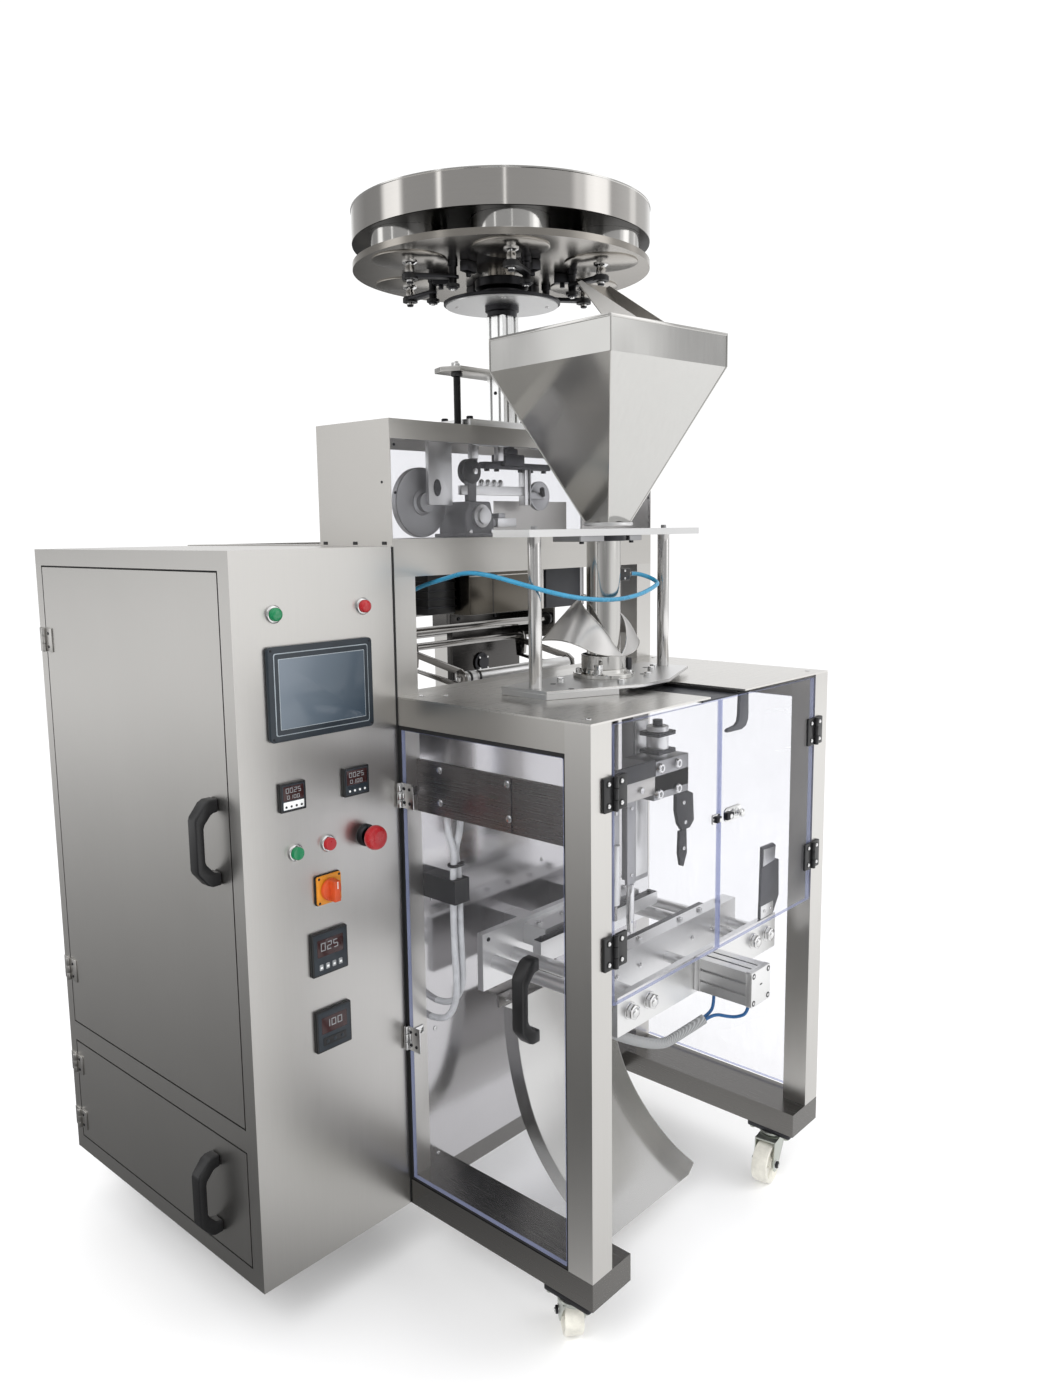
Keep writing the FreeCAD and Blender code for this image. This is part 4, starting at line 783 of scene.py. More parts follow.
p = Piece("controllers")
for i, (x0, x1, z0, z1) in enumerate(((-251, -202, 897, 944), (-125, -72, 898, 947), (-203, -130, 608, 682), (-200, -128, 475, 547))):
    wd, ht = x1 - x0, z1 - z0
    p.add(extr(rrect(x0, x1, z0, z1, 2.2), "xz", -6.5, 0, 1.0), "black")
    p.add(extr(rrect(x0 + 3, x1 - 3, z0 + 3, z1 - 3, 1.5), "xz", -7.1, -6, 0.3), "housing")
    if i < 2:
        p.add(extr(rrect(x0 + 5, x1 - 5, z0 + 0.40 * ht, z1 - 5, 1.0), "xz", -7.5, -6.5, 0.2), "display")
        digits(p, "0025", x0 + 10, -7.4, z0 + 0.66 * ht, 0.115 * wd, 0.17 * ht, "dim")
        digits(p, "0100", x0 + 12, -7.4, z0 + 0.45 * ht, 0.095 * wd, 0.13 * ht, "dim")
        p.add(extr(rrect(x0 + 5, x1 - 5, z0 + 4.5, z0 + 0.36 * ht, 1.0), "xz", -7.5, -6.5, 0.2), "white" if i == 0 else "housing")
        for k in range(4):
            cxk = x0 + wd * (0.2 + 0.2 * k)
            p.add(cyl((cxk, -7.2, z0 + 0.19 * ht), (cxk, -8.1, z0 + 0.19 * ht), 2.0, seg=16, bev=0.3), "black" if i == 0 else "white")
    else:
        p.add(extr(rrect(x0 + 10, x1 - 10, z0 + 0.44 * ht, z1 - 12, 1.0), "xz", -7.5, -6.5, 0.2), "display")
        if i == 2:
            digits(p, "025", x0 + 17, -7.4, z0 + 0.57 * ht, 0.13 * wd, 0.19 * ht, "dim")
            for k in range(4):
                cxk = x0 + wd * (0.23 + 0.18 * k)
                p.add(extr(rrect(cxk - 3.6, cxk + 3.6, z0 + 10, z0 + 20, 1.2), "xz", -8.2, -6.8, 0.4), "dim")
                p.add(extr(rrect(cxk - 2.2, cxk + 2.2, z0 + 13, z0 + 16.5, 0.5), "xz", -8.6, -8.0, 0.1), "white")
        else:
            digits(p, "100", x0 + 17, -7.4, z0 + 0.58 * ht, 0.13 * wd, 0.17 * ht, "dim")
            p.add(extr(rrect(x0 + 12, x1 - 12, z0 + 10, z0 + 24, 1.5), "xz", -7.8, -6.8, 0.4), "black")
            for k in range(3):
                cxk = x0 + wd * (0.29 + 0.21 * k)
                p.add(cyl((cxk, -7.2, z0 + 17), (cxk, -8.6, z0 + 17), 3.0, seg=20, bev=0.4), "housing")
p.make("machine", "black_plastic", ["temperature_controllers"])

p = Piece("panel_lamps_and_buttons")
for (x, z), c in (((-245, 1211), "green"), ((-69, 1213), "red"), ((-223.5, 827), "green"), ((-159, 828), "red")):
    p.add(lathe([(0, 0), (14.5, 0), (14.5, 2.6), (13.6, 4.2), (12.2, 5.0), (11.2, 5.0), (11.0, 3.8), (0, 3.8)], (x, 0, z), (x, -1, z)), "chrome")
    if z > 1000:
        p.add(lathe([(10.6, 3.5), (10.6, 9.5), (9.8, 11.6), (8.0, 13.2), (5.0, 13.9), (0, 14.0)], (x, 0, z), (x, -1, z)), c)
    else:
        p.add(lathe([(10.6, 3.5), (10.6, 10.2), (10.0, 11.6), (8.6, 12.0), (0, 11.4)], (x, 0, z), (x, -1, z)), c)
p.add(lathe([(10.5, 0), (19, 0), (19, 5), (17.6, 7.4), (15.5, 9), (12.2, 9), (10.5, 8)], (-79, 0, 824), (-79, -1, 824)), "dark")
p.add(extr(rrect(-189, -138, 727, 778, 4), "xz", -3.2, 0, 0.6), "dark")
p.add(extr(rrect(-188, -139, 728, 777, 4), "xz", -7, -3.0, 1.0), "yellow")
for sx in (-1, 1):
    for sz in (-1, 1):
        p.add(screw((-163.5 + sx * 20.5, -7, 752.5 + sz * 20.5), (0, -1, 0), 2.2, 0.9), "dark")
p.make("machine", "lamp_colours", ["panel_fittings"])

p = Piece("stop_mushroom")
p.add(cyl((-79, -0.5, 824), (-79, -24, 824), 9.6, bev=0.4), "dark")
p.add(lathe([(0, 20), (19.4, 20.5), (20.6, 22.5), (21, 27), (20.4, 31.5), (18.6, 35.2), (15, 37.2), (9, 37.9), (0, 38)], (-79, 0, 824), (-79, -1, 824)), "red")
p.make("emergency_stop", "red_plastic", ["emergency_stop_button"])

p = Piece("isolator_knob")
p.add(cyl((-163.5, -0.5, 752.5), (-163.5, -10, 752.5), 7.8, bev=0.3), "dark")
p.add(lathe([(0, 8.6), (18.6, 8.6), (19, 10), (19, 13), (17.6, 15.6), (15.5, 16), (0, 16)], (-163.5, 0, 752.5), (-163.5, -1, 752.5)), "orange")
p.add(extr([(-170, 735), (-157, 735), (-158.2, 752.5), (-157, 770), (-170, 770), (-168.8, 752.5)], "xz", -29.6, -12, 1.6, 3), "orange")
p.add(box(-164.2, -162.8, -30.0, -29.0, 757, 769, 0.1), "white")
p.make("main_switch", "red_plastic", ["main_switch_knob"])

# ------------------------------------------------------------------ handles and hinges
HANDLE = [(0, 0), (16, 0), (24, 4), (40, 24), (42, 30), (42, 110), (40, 116), (24, 136), (16, 140), (0, 140), (0, 119), (9, 118), (13, 116), (25, 102), (27, 96), (27, 44), (25, 38), (13, 24), (9, 22), (0, 21)]


def grip(piece, x, y, z):
    piece.add(extr([(x - a, z + c) for a, c in HANDLE], "xz", y - 12, y + 12, 3.2, 3), "black")
    for dz in (10.5, 129.5):
        piece.add(cyl((x - 21.4, y, z + dz), (x - 15, y, z + dz), 5.2, seg=24, bev=0.3), "rubber")
        piece.add(cyl((x - 21.8, y, z + dz), (x - 18, y, z + dz), 3.4, seg=6, bev=0.3), "dark")


def hinge_x(door, fixed, x, ky, z0, z1, y_door, y_fix, mat="steel_v"):
    """Butt hinge on a face of constant X: leaves either side of the pin at ky, three knuckles."""
    h3 = (z1 - z0) / 3
    for pc, (ya, yb), ks in ((door, y_door, (0, 2)), (fixed, y_fix, (1,))):
        pc.add(box(x - 2.4, x - 0.1, ya, yb, z0, z1, 0.5), mat)
        for k in ks:
            pc.add(cyl((x - 4.5, ky, z0 + k * h3 + 0.3), (x - 4.5, ky, z0 + (k + 1) * h3 - 0.3), 4.0, seg=24, bev=0.4), mat)
        ym = (ya + yb) / 2
        for zz in (z0 + 0.22 * (z1 - z0), z0 + 0.78 * (z1 - z0)):
            pc.add(screw((x - 2.4, ym, zz), (-1, 0, 0), 2.8, 1.0), "dark")


fixed = Piece("fixed_hinge_leaves")
up = Piece("upper_door_fittings")
grip(up, -320, 72, 785)
for z in (1118, 467):
    hinge_x(up, fixed, -320, 629.5, z, z + 45, (602, 628), (631, 650))
up.make("cabinet_door_upper", "black_plastic", ["cabinet_door_upper_fittings"])
lowp = Piece("lower_door_fittings")
grip(lowp, -320, 125, 165)
for z in (273, 155):
    hinge_x(lowp, fixed, -320, 629.5, z, z + 38, (605, 628), (631, 650))
lowp.make("cabinet_door_lower", "black_plastic", ["cabinet_door_lower_fittings"])
sd = Piece("side_door_fittings")
grip(sd, 0, -312, 527)
for z in (857, 409):
    h3 = 15
    sd.add(box(-2.5, -0.1, -38, -8, z, z + 45, 0.5), "chrome")
    for k in (0, 2):
        sd.add(cyl((-5, -5.5, z + k * h3 + 0.3), (-5, -5.5, z + (k + 1) * h3 - 0.3), 4.2, seg=24, bev=0.4), "chrome")
    fixed.add(cyl((-5, -5.5, z + h3 + 0.3), (-5, -5.5, z + 2 * h3 - 0.3), 4.2, seg=24, bev=0.4), "chrome")
    fixed.add(box(-5, 3, -2.4, -0.2, z + h3, z + 2 * h3, 0.4), "chrome")
    fixed.add(box(2, 40, -2.4, -0.2, z + h3, z + 2 * h3, 0.4), "chrome")
    for zz in (z + 10, z + 35):
        for yy in (-15, -29):
            sd.add(screw((-2.5, yy, zz), (-1, 0, 0), 3.0, 1.3), "dark")
sd.make("side_door_left", "black_plastic", ["side_door_left_fittings"])

for side, kx, sg, dbody in (("left", 53, 1, "front_door_left"), ("right", 697, -1, "front_door_right")):
    pc = Piece("front_door_hardware_" + side)
    for z in (912, 662):
        h3 = 18
        a, b = sorted((kx + sg * 3, kx + sg * 31))
        c, e = sorted((kx - sg * 3, kx - sg * 27))
        for piece_, (u0, u1), ks in ((pc, (a, b), (0, 2)), (fixed, (c, e), (1,))):
            piece_.add(extr(rrect(u0, u1, z, z + 54, 3.0), "xz", -432.6, -428.1, 0.9, 2), "black")
            for k in ks:
                piece_.add(cyl((kx, -433.5, z + k * h3 + 0.3), (kx, -433.5, z + (k + 1) * h3 - 0.3), 4.9, seg=24, bev=0.6), "black")
                um = u0 if abs(u0 - kx) < abs(u1 - kx) else u1
                piece_.add(box(min(um, kx), max(um, kx), -434.6, -429, z + k * h3 + 0.5, z + (k + 1) * h3 - 0.5, 0.8), "black")
            um = (u0 + u1) / 2
            for zz in (z + 10, z + 44):
                piece_.add(lathe([(5.6, 0), (5.6, 0.7), (4.6, 1.3), (4.4, 0.9)], (um, -432.6, zz), (um, -433.6, zz), 24), "black")
                piece_.add(dome((um, -432.7, zz), (0, -1, 0), 4.2, 2.6), "chrome")
    if side == "left":
        pc.add(extr(rrect(330, 353, 829, 846, 2.5), "xz", -431, -428, 0.6), "chrome")
        pc.add(box(334, 349, -438, -430, 832, 843, 1.8, 3), "dark")
        pc.add(cyl((341.5, -437.5, 837.5), (341.5, -441, 837.5), 3.8, bev=0.8), "chrome")
        pc.add(screw((334, -431, 837.5), (0, -1, 0), 2.4, 1.2), "chrome")
    else:
        pc.add(extr(rrect(368, 424, 824, 850, 11, 8), "xz", -431.4, -428, 0.8, 2), "chrome")
        pc.add(box(364, 384, -440, -431, 831, 844, 2.0, 3), "dark")
        pc.add(cyl((374, -439.5, 837.5), (374, -442, 837.5), 4.4, bev=0.6), "chrome")
        pc.add(lathe([(0, 0), (7.5, 0), (7.5, 2), (5.2, 4), (4.6, 6.5), (6.6, 9), (7.6, 12), (6.6, 14.6), (4, 15.8), (0, 16)], (406, -431, 837.5), (406, -432, 837.5)), "chrome")
        pc.add(box(392, 400, -436, -431, 834, 841, 1.2), "chrome")
    pc.make(dbody, "black_plastic", ["front_door_%s_fittings" % side])
fixed.make("machine", "black_plastic", ["frame_hinge_leaves"])

# ------------------------------------------------------------------ casters
for name, (cx_, cy_, turn) in {"front_left": (24, -371, 228.6), "front_right": (674, -371, 7.8), "rear_left": (24, 596, 24), "rear_right": (674, 596, -28)}.items():
    T_ = Matrix.Translation((cx_, cy_, 0)) @ Matrix.Rotation(math.radians(turn), 4, "Z")
    fo = Piece("fork_" + name)

    def addf(bm, mat, target=None, T_=T_, fo=fo):
        (target or fo).add(place_bm(bm, T_), mat)

    for s_ in (-1, 1):
        ol = [(18, 89), (18, 82), (8, 74), (-18, 40), (-26, 28), (-34, 24.5), (-42, 25), (-49, 30), (-51, 38), (-49, 46), (-46, 70), (-44, 89)]
        w0, w1 = (19.2, 21.9) if s_ > 0 else (-21.9, -19.2)
        addf(extr(ol, "xz", w0, w1, 0.8, 2), "zinc")
        addf(hexhead((-38, s_ * 22.0, 40), (0, s_, 0), 13, 5.0, 0.3), "dark")
        addf(cyl((-38, s_ * 21.5, 40), (-38, s_ * 22.9, 40), 9.5, bev=0.3), "chrome")
        addf(cyl((-38, s_ * 26.5, 40), (-38, s_ * 29.0, 40), 3.6, seg=20, bev=0.5), "chrome")
    addf(box(-44, 18, -22, 22, 85.4, 89.0, 1.2), "zinc")
    addf(lathe([(0, 82.6), (12, 82.6), (13, 84), (13, 86), (22, 86), (25.5, 87.5), (25.5, 89), (0, 89)], (0, 0, 0), (0, 0, 1)), "zinc")
    addf(cyl((0, 0, 79.5), (0, 0, 84), 6.5, seg=6, bev=0.6), "dark")
    addf(cyl((-38, -20, 40), (-38, 20, 40), 4.9, bev=0.2), "chrome")
    fo.make("caster_fork_" + name, "stainless_bright", ["caster_fork_" + name])
    wh = Piece("wheel_" + name)
    prof = [(5.1, -16), (11, -16), (12.5, -15), (13, -12.5), (22, -11.5), (30, -12.5), (34, -15.6), (38.2, -16), (39.6, -14.8), (40, -12.5), (40, 12.5), (39.6, 14.8), (38.2, 16), (34, 15.6), (30, 12.5), (22, 11.5), (13, 12.5), (12.5, 15), (11, 16), (5.1, 16), (5.1, -16)]
    addf(lathe([(r, h) for r, h in prof], (-38, 0, 40), (-38, 1, 40), 64), "nylon", wh)
    for k in range(6):
        a = math.pi * k / 3
        for s_ in (-1, 1):
            y0, y1 = (12.0, 13.6) if s_ > 0 else (-13.6, -12.0)
            bm = box(13, 32, y0 - 1.5 if s_ > 0 else y0, y1 if s_ > 0 else y1 + 1.5, -1.2, 1.2, 0.4)
            place_bm(bm, Matrix.Translation((-38, 0, 40)) @ Matrix.Rotation(a, 4, "Y"))
            addf(bm, "nylon", wh)
    wh.make("caster_wheel_" + name, "caster_nylon", ["caster_wheel_" + name])
p = Piece("caster_top_plates")
for cx_, cy_ in ((24, -371), (674, -371), (24, 596), (674, 596)):
    p.add(extr(rrect(cx_ - 24, cx_ + 26, cy_ - 48, cy_ + 48, 5), "xy", 95.2, 105, 1.0), "dark")
    p.add(lathe([(0, 89.2), (24, 89.2), (27, 90.5), (28.5, 93), (27, 95.5), (0, 95.5)], (cx_, cy_, 0), (cx_, cy_, 1)), "zinc")
    for dx in (-17, 19):
        for dy in (-39, 39):
            p.add(hexhead((cx_ + dx, cy_ + dy, 95.2), (0, 0, -1), 10, 4.5), "zinc")
p.make("machine", "dark_steel", ["caster_plates"])


# ------------------------------------------------------------------ seals
p = Piece("door_seals")
for y0, y1, z0, z1 in ((33, 626, 382, 1277), (33, 626, 138, 338)):
    for a in ((y0 - 2.7, y0 - 0.5, z0 - 2.7, z1 + 2.7), (y1 + 0.5, y1 + 2.7, z0 - 2.7, z1 + 2.7), (y0 - 0.5, y1 + 0.5, z0 - 2.7, z0 - 0.5), (y0 - 0.5, y1 + 0.5, z1 + 0.5, z1 + 2.7)):
        p.add(box(-317.5, -306, a[0], a[1], a[2], a[3], 0.3), "rubber")
p.add(box(-2.2, 1.8, -1.2, -0.1, 106, 1309, 0.3), "rubber")
for a in ((-377.8, -374.6, 153.4, 1001.6), (-9.4, -0.4, 153.4, 1001.6), (-374.6, -9.4, 994.6, 1001.6), (-374.6, -9.4, 153.4, 159.4)):
    p.add(box(1.0, 9.0, a[0], a[1], a[2], a[3], 0.4), "rubber")
p.add(extr([(-374.6, 994.6), (-374.6, 976), (-372.5, 985), (-366, 992), (-357, 994.6)], "yz", 8.4, 9.6, 0.1), "rubber")
p.make("machine", "black_plastic")

# ------------------------------------------------------------------ turntable
TX, TY = 377, 90
p = Piece("flap_plates_and_followers")
q2 = Piece("cup_details")
for i in range(6):
    a = math.radians(60 * i - 12)
    ca, sa_ = math.cos(a), math.sin(a)
    cx_, cy_ = TX + 205 * ca, TY + 205 * sa_
    fx, fy = TX + 138 * math.cos(a + 0.25), TY + 138 * math.sin(a + 0.25)
    p.add(lathe([(0, 0), (66, 0), (68.6, 0.8), (69, 2.2), (69, 3), (0, 3)], (cx_, cy_, 1824), (cx_, cy_, 1825), 72), "disc")
    p.add(lathe([(0, 0), (7, 0), (7, 14), (9, 15), (9, 25), (8, 26.5), (8, 30), (14, 33.5), (14, 36), (0, 36)], (cx_, cy_, 1788), (cx_, cy_, 1789)), "chrome")
    p.add(lathe([(0, 0), (5.4, 0), (6.4, 1), (6.4, 6), (0, 6)], (cx_, cy_, 1785), (cx_, cy_, 1786)), "dark")
    p.add(lathe([(9.1, 0), (15, 0.8), (15, 9), (12, 12), (9.1, 12)], (cx_, cy_, 1792), (cx_, cy_, 1793)), "black")
    # crank from the flap's pin to its follower
    d_ = Vector((fx - cx_, fy - cy_, 0)).normalized()
    nrm = Vector((-d_.y, d_.x, 0))
    A_, B_ = Vector((cx_, cy_, 0)), Vector((fx, fy, 0))
    ol = [A_ + nrm * 12 - d_ * 3, A_ - d_ * 13, A_ - nrm * 12 - d_ * 3, B_ - nrm * 9 + d_ * 2, B_ + d_ * 12, B_ + nrm * 9 + d_ * 2]
    p.add(extr([(v.x, v.y) for v in ol], "xy", 1796, 1803, 1.2, 2), "dark")
    p.add(lathe([(0, 0), (8.4, 0), (8.8, 1), (8.8, 6), (7.4, 8), (7.4, 40), (9.5, 42), (9.5, 50), (0, 50)], (fx, fy, 1777), (fx, fy, 1778)), "dark")
    p.add(lathe([(0, 0), (4, 0), (4.5, 1), (4.5, 3), (0, 3)], (fx, fy, 1775), (fx, fy, 1776), 20), "chrome")
    p.add(lathe([(8.6, 0), (12.5, 0.6), (12.5, 6.4), (8.6, 7)], (fx, fy, 1780), (fx, fy, 1781), 32), "black")
    # stop block and cap screws under the disc
    gx, gy = TX + 118 * math.cos(a + 0.42), TY + 118 * math.sin(a + 0.42)
    bm = box(-16, 16, -9, 9, 1808, 1826.8, 1.4, 2)
    place_bm(bm, Matrix.Translation((gx, gy, 0)) @ Matrix.Rotation(a + 0.42, 4, "Z"))
    p.add(bm, "dark")
    bm = cyl((gx, gy, 1809), (gx, gy, 1800), 5.2, seg=6)
    p.add(bm, "dark")
    # rolled lip of each cup where it meets the tray
    q2.add(lathe([(70, 0), (71.4, 0.6), (71.8, 2), (71.4, 3.4), (70, 4)], (cx_, cy_, 1838.8), (cx_, cy_, 1839.8), 72), "bright")
# hub collar with its screws, black
p.add(lathe([(26.1, 0), (40, 0), (42, 2), (42, 14), (50, 18), (52, 20), (52, 34), (50, 36), (26.1, 36)], (TX, TY, 1779), (TX, TY, 1780), 64), "dark")
for k in range(6):
    a = math.radians(60 * k + 20)
    p.add(hexhead((TX + 36 * math.cos(a), TY + 36 * math.sin(a), 1779), (0, 0, -1), 9, 4), "chrome")
p.make("turntable", "stainless_bright", ["turntable_flaps"], 40)


def plate_holes(r_out, holes, z0, z1, n=120):
    """Round plate with round holes, between two heights, centred on the turntable."""
    loops = [[Vector((TX + r_out * math.cos(2 * math.pi * k / n), TY + r_out * math.sin(2 * math.pi * k / n), 0)) for k in range(n)]]
    for hx, hy, hr in holes:
        loops.append([Vector((hx + hr * math.cos(-2 * math.pi * k / 48), hy + hr * math.sin(-2 * math.pi * k / 48), 0)) for k in range(48)])
    tris = tessellate_polygon(loops)
    flat = [v for lp in loops for v in lp]
    bm = bmesh.new()
    lo = [bm.verts.new((v.x, v.y, z0)) for v in flat]
    hi = [bm.verts.new((v.x, v.y, z1)) for v in flat]
    for t in tris:
        bm.faces.new([lo[k] for k in t])
        bm.faces.new([hi[k] for k in t[::-1]])
    k0 = 0
    for lp in loops:
        m_ = len(lp)
        for k in range(m_):
            a_, b_2 = k0 + k, k0 + (k + 1) % m_
            bm.faces.new((lo[a_], lo[b_2], hi[b_2], hi[a_]))
        k0 += m_
    bmesh.ops.recalc_face_normals(bm, faces=bm.faces)
    return bm


CUPS = [(TX + 205 * math.cos(math.radians(60 * i - 12)), TY + 205 * math.sin(math.radians(60 * i - 12))) for i in range(6)]
# near-black plate with the cup holes just under the tray: painted shade and dark reflection on its underside
q3 = Piece("tray_underside_painted_shade")
q3.add(plate_holes(285.6, [(x, y, 70.6) for x, y in CUPS] + [(TX, TY, 26.6)], 1873.6, 1874.9), "under")
q3.make("turntable", "stainless_bright")
q2.add(lathe([(286, 0), (287, 0.8), (287, 3.2), (286, 4)], (TX, TY, 1933), (TX, TY, 1934), 160), "bright")
q2.add(lathe([(283, 3), (284.4, 3.5), (286, 3)], (TX, TY, 1934), (TX, TY, 1935), 160), "bright")
q2.add(lathe([(0, 0), (60, 0), (62, 1.5), (62, 5), (40, 12), (30, 26), (26, 30), (0, 31)], (TX, TY, 1839.2), (TX, TY, 1840.2), 64), "disc")
for k in range(6):
    a = math.radians(60 * k)
    q2.add(hexhead((TX + 50 * math.cos(a), TY + 50 * math.sin(a), 1844), (0, 0, 1), 10, 5), "chrome")
q2.make("turntable", "stainless_bright")

# column: slotted profile, clamp hub, cam plate, bracket with the height screw
p = Piece("column_and_cam")


def slotted(cx_, cy_, side, slots, wslot, depth):
    """Square profile with grooves in each side."""
    h = side / 2
    pts = []
    base = [(-h, -h)]
    for s_ in slots:
        base += [(s_ - wslot / 2, -h), (s_ - wslot / 2, -h + depth * 0.35), (s_ - wslot * 0.8, -h + depth * 0.5), (s_ - wslot * 0.8, -h + depth), (s_ + wslot * 0.8, -h + depth),
                 (s_ + wslot * 0.8, -h + depth * 0.5), (s_ + wslot / 2, -h + depth * 0.35), (s_ + wslot / 2, -h)]
    for r in range(4):
        a = math.pi / 2 * r
        for x, y in base:
            pts.append((cx_ + x * math.cos(a) - y * math.sin(a), cy_ + x * math.sin(a) + y * math.cos(a)))
    return pts


p.add(extr(slotted(TX, TY, 45, (-11.2, 11.2), 5.0, 6.0), "xy", 1543, 1746, 0.5, 1), "column")
p.add(lathe([(0, 0), (27, 0), (29, 1.5), (29, 9), (33, 11), (33, 19.8), (0, 19.8)], (TX, TY, 1745), (TX, TY, 1746), 56), "dark")
p.add(lathe([(0, 0), (109, 0), (109, 2.5), (0, 2.5)], (TX, TY, 1765), (TX, TY, 1766), 120), "alu")
p.add(lathe([(30, 0), (112, 0), (113.5, 1), (113.5, 5), (112, 6), (96, 6.6), (60, 6.2), (30, 6)], (TX, TY, 1767.5), (TX, TY, 1768.5), 120), "dark")
for k in range(4):
    a = math.radians(45 + 90 * k)
    p.add(hexhead((TX + 22 * math.cos(a), TY + 22 * math.sin(a), 1745), (0, 0, -1), 9, 5), "chrome")
    p.add(screw((TX + 88 * math.cos(a), TY + 88 * math.sin(a), 1765), (0, 0, -1), 4.0, 1.8), "chrome")
p.add(extr([(217, 100), (232, 62), (397, 62), (397, 128), (228, 128)], "xy", 1628.2, 1637.8, 1.0, 2), "steel_v")
p.add(extr(rrect(251, 425, 58, 150, 3), "xy", 1523.0, 1542.8, 1.4, 2), "alu")
for x, y in ((262, 70), (262, 138), (413, 70), (413, 138)):
    p.add(lathe([(0, 0), (6.5, 0), (6.5, 5), (5.6, 6), (3.2, 6), (3.2, 3), (0, 3)], (x, y, 1542.8), (x, y, 1543.8), 24), "dark")
th_ = [(0, 0)]
k = 0.0
while k < 108:
    th_ += [(6.4, k), (7.1, k + 0.7), (6.4, k + 1.4)]
    k += 2.0
th_.append((0, 108))
p.add(lathe(th_, (240, 80, 1530), (240, 80, 1531), 20), "black")
p.add(lathe([(0, 0), (15, 0), (15, 1.5), (0, 1.5)], (240, 80, 1523.1), (240, 80, 1524.1), 32), "chrome")
p.add(hexhead((240, 80, 1524.4), (0, 0, 1), 22, 8), "dark")
p.add(hexhead((240, 80, 1619.5), (0, 0, 1), 20, 8), "black")
p.add(hexhead((262, 112, 1637.8), (0, 0, 1), 12, 7), "chrome")
p.add(cyl((262, 112, 1640), (262, 112, 1651), 3.6, seg=20), "chrome")
p.add(hexhead((240, 80, 1637.8), (0, 0, 1), 12, 6), "chrome")
p.add(cyl((240, 80, 1640), (240, 80, 1648), 3.6, seg=20), "chrome")
for z in (1600, 1668, 1700):
    p.add(screw((TX - 22.5, TY, z), (-1, 0, 0), 3.4, 2.0), "dark")
p.make("machine", "stainless_sheet", ["turntable_column"])

# ------------------------------------------------------------------ hopper rim and welded corners
HM = Matrix.Translation((350, -190, 0)) @ Matrix.Rotation(math.radians(-6), 4, "Z")
p = Piece("hopper_trim")


def hadd(bm, mat):
    p.add(place_bm(bm, HM), mat)


for a, b in (((-149.5, -149.5), (149.5, -146)), ((-149.5, 146), (149.5, 149.5)), ((-149.5, -146), (-146, 146)), ((146, -146), (149.5, 146))):
    hadd(box(a[0], b[0], a[1], b[1], 1667.5, 1673.0, 1.2, 2), "bright")
for sx in (-1, 1):
    for sy in (-1, 1):
        hadd(tube([(sx * 148.2, sy * 148.2, 1672), (sx * 148.2, sy * 148.2, 1615)], 1.5, 10, 1), "bright")
        hadd(tube([(sx * 148.2, sy * 148.2, 1615), (sx * 28.2, sy * 28.2, 1345.8)], 1.5, 10, 1), "bright")
hadd(lathe([(31, 0), (44, 0), (45, 1.5), (45, 5), (44, 6), (31, 6)], (0, 0, 1340), (0, 0, 1341), 48), "alu")
p.make("machine", "stainless_bright")

# ------------------------------------------------------------------ upper box: screws, seams, drive
p = Piece("upper_box_trim")
for x in (10, 740):
    for z in (1400, 1480):
        p.add(screw((x, -0.1, z), (0, -1, 0), 2.6, 1.2), "dark")
p.add(screw((0, 22, 1418), (-1, 0, 0), 2.4, 1.0), "dark")
for y in (20, 98, 182):
    p.add(box(-0.8, 1, y - 6, y + 6, 1312.3, 1318, 0.6), "black")
for x, y in ((40, 30), (204, 24), (230, 120), (560, 30), (700, 40)):
    p.add(lathe([(0, 0), (5, 0), (5, 2.0), (4.2, 2.8), (0, 2.8)], (x, y, 1523), (x, y, 1524), 24), "chrome")
p.make("machine", "stainless_sheet")

M["cast"] = plastic("cast_gear_case", (0.16, 0.16, 0.165), 0.45, 260, 0.25)
p = Piece("filler_drive")
# hanging plate with its oval hole, big pulley wheel
p.add(extr(rrect(179, 240, 1383, 1513, 2), "xz", 98, 106, 0.8), "alu")
p.add(lathe([(0, 0), (9, 0), (9, 1.2), (0, 1.2)], (200, 97.4, 1415), (200, 96.4, 1415), 32), "dark")
p.add(extr([(200 + 9 * math.cos(t), 1415 + 16 * math.sin(t)) for t in [2 * math.pi * k / 28 for k in range(28)]], "xz", 96.8, 98.4, 0.2), "dark")
p.add(lathe([(0, 0), (18, 0), (18, 10), (24, 12), (24, 14), (58, 16), (64, 14.5), (65, 16), (65, 27), (64, 28), (58, 27), (20, 27), (18, 30), (0, 30)], (180, 104, 1388), (180, 105, 1388), 72), "alu_dark")
# gear case with arm and black wheel
p.add(extr([(249, 1322.2), (327, 1322.2), (327, 1352), (318, 1390), (262, 1390), (249, 1366)], "xz", 72, 148, 4, 3), "cast")
for x in (258, 318):
    p.add(hexhead((x, 72, 1332), (0, -1, 0), 9, 4), "chrome")
p.add(box(243, 333, 66, 154, 1322.1, 1329, 1.2), "cast")
p.add(lathe([(0, 0), (22, 0), (22, 6), (16, 8), (16, 14), (8, 16), (0, 16)], (288, 72, 1362), (288, 71, 1362), 40), "alu")
p.add(extr([(279, 1385), (301, 1385), (303, 1440), (312, 1505), (296, 1505), (292, 1470), (278, 1455)], "xz", 94, 106, 2.5, 3), "cast")
p.add(lathe([(0, 0), (20, 0), (24, 2), (24, 7), (20, 9), (20, 12), (24, 14), (24, 18), (10, 20), (0, 20)], (290, 92, 1448), (290, 93, 1448), 48), "black")
p.add(cyl((290, 84, 1448), (290, 92, 1448), 6), "chrome")
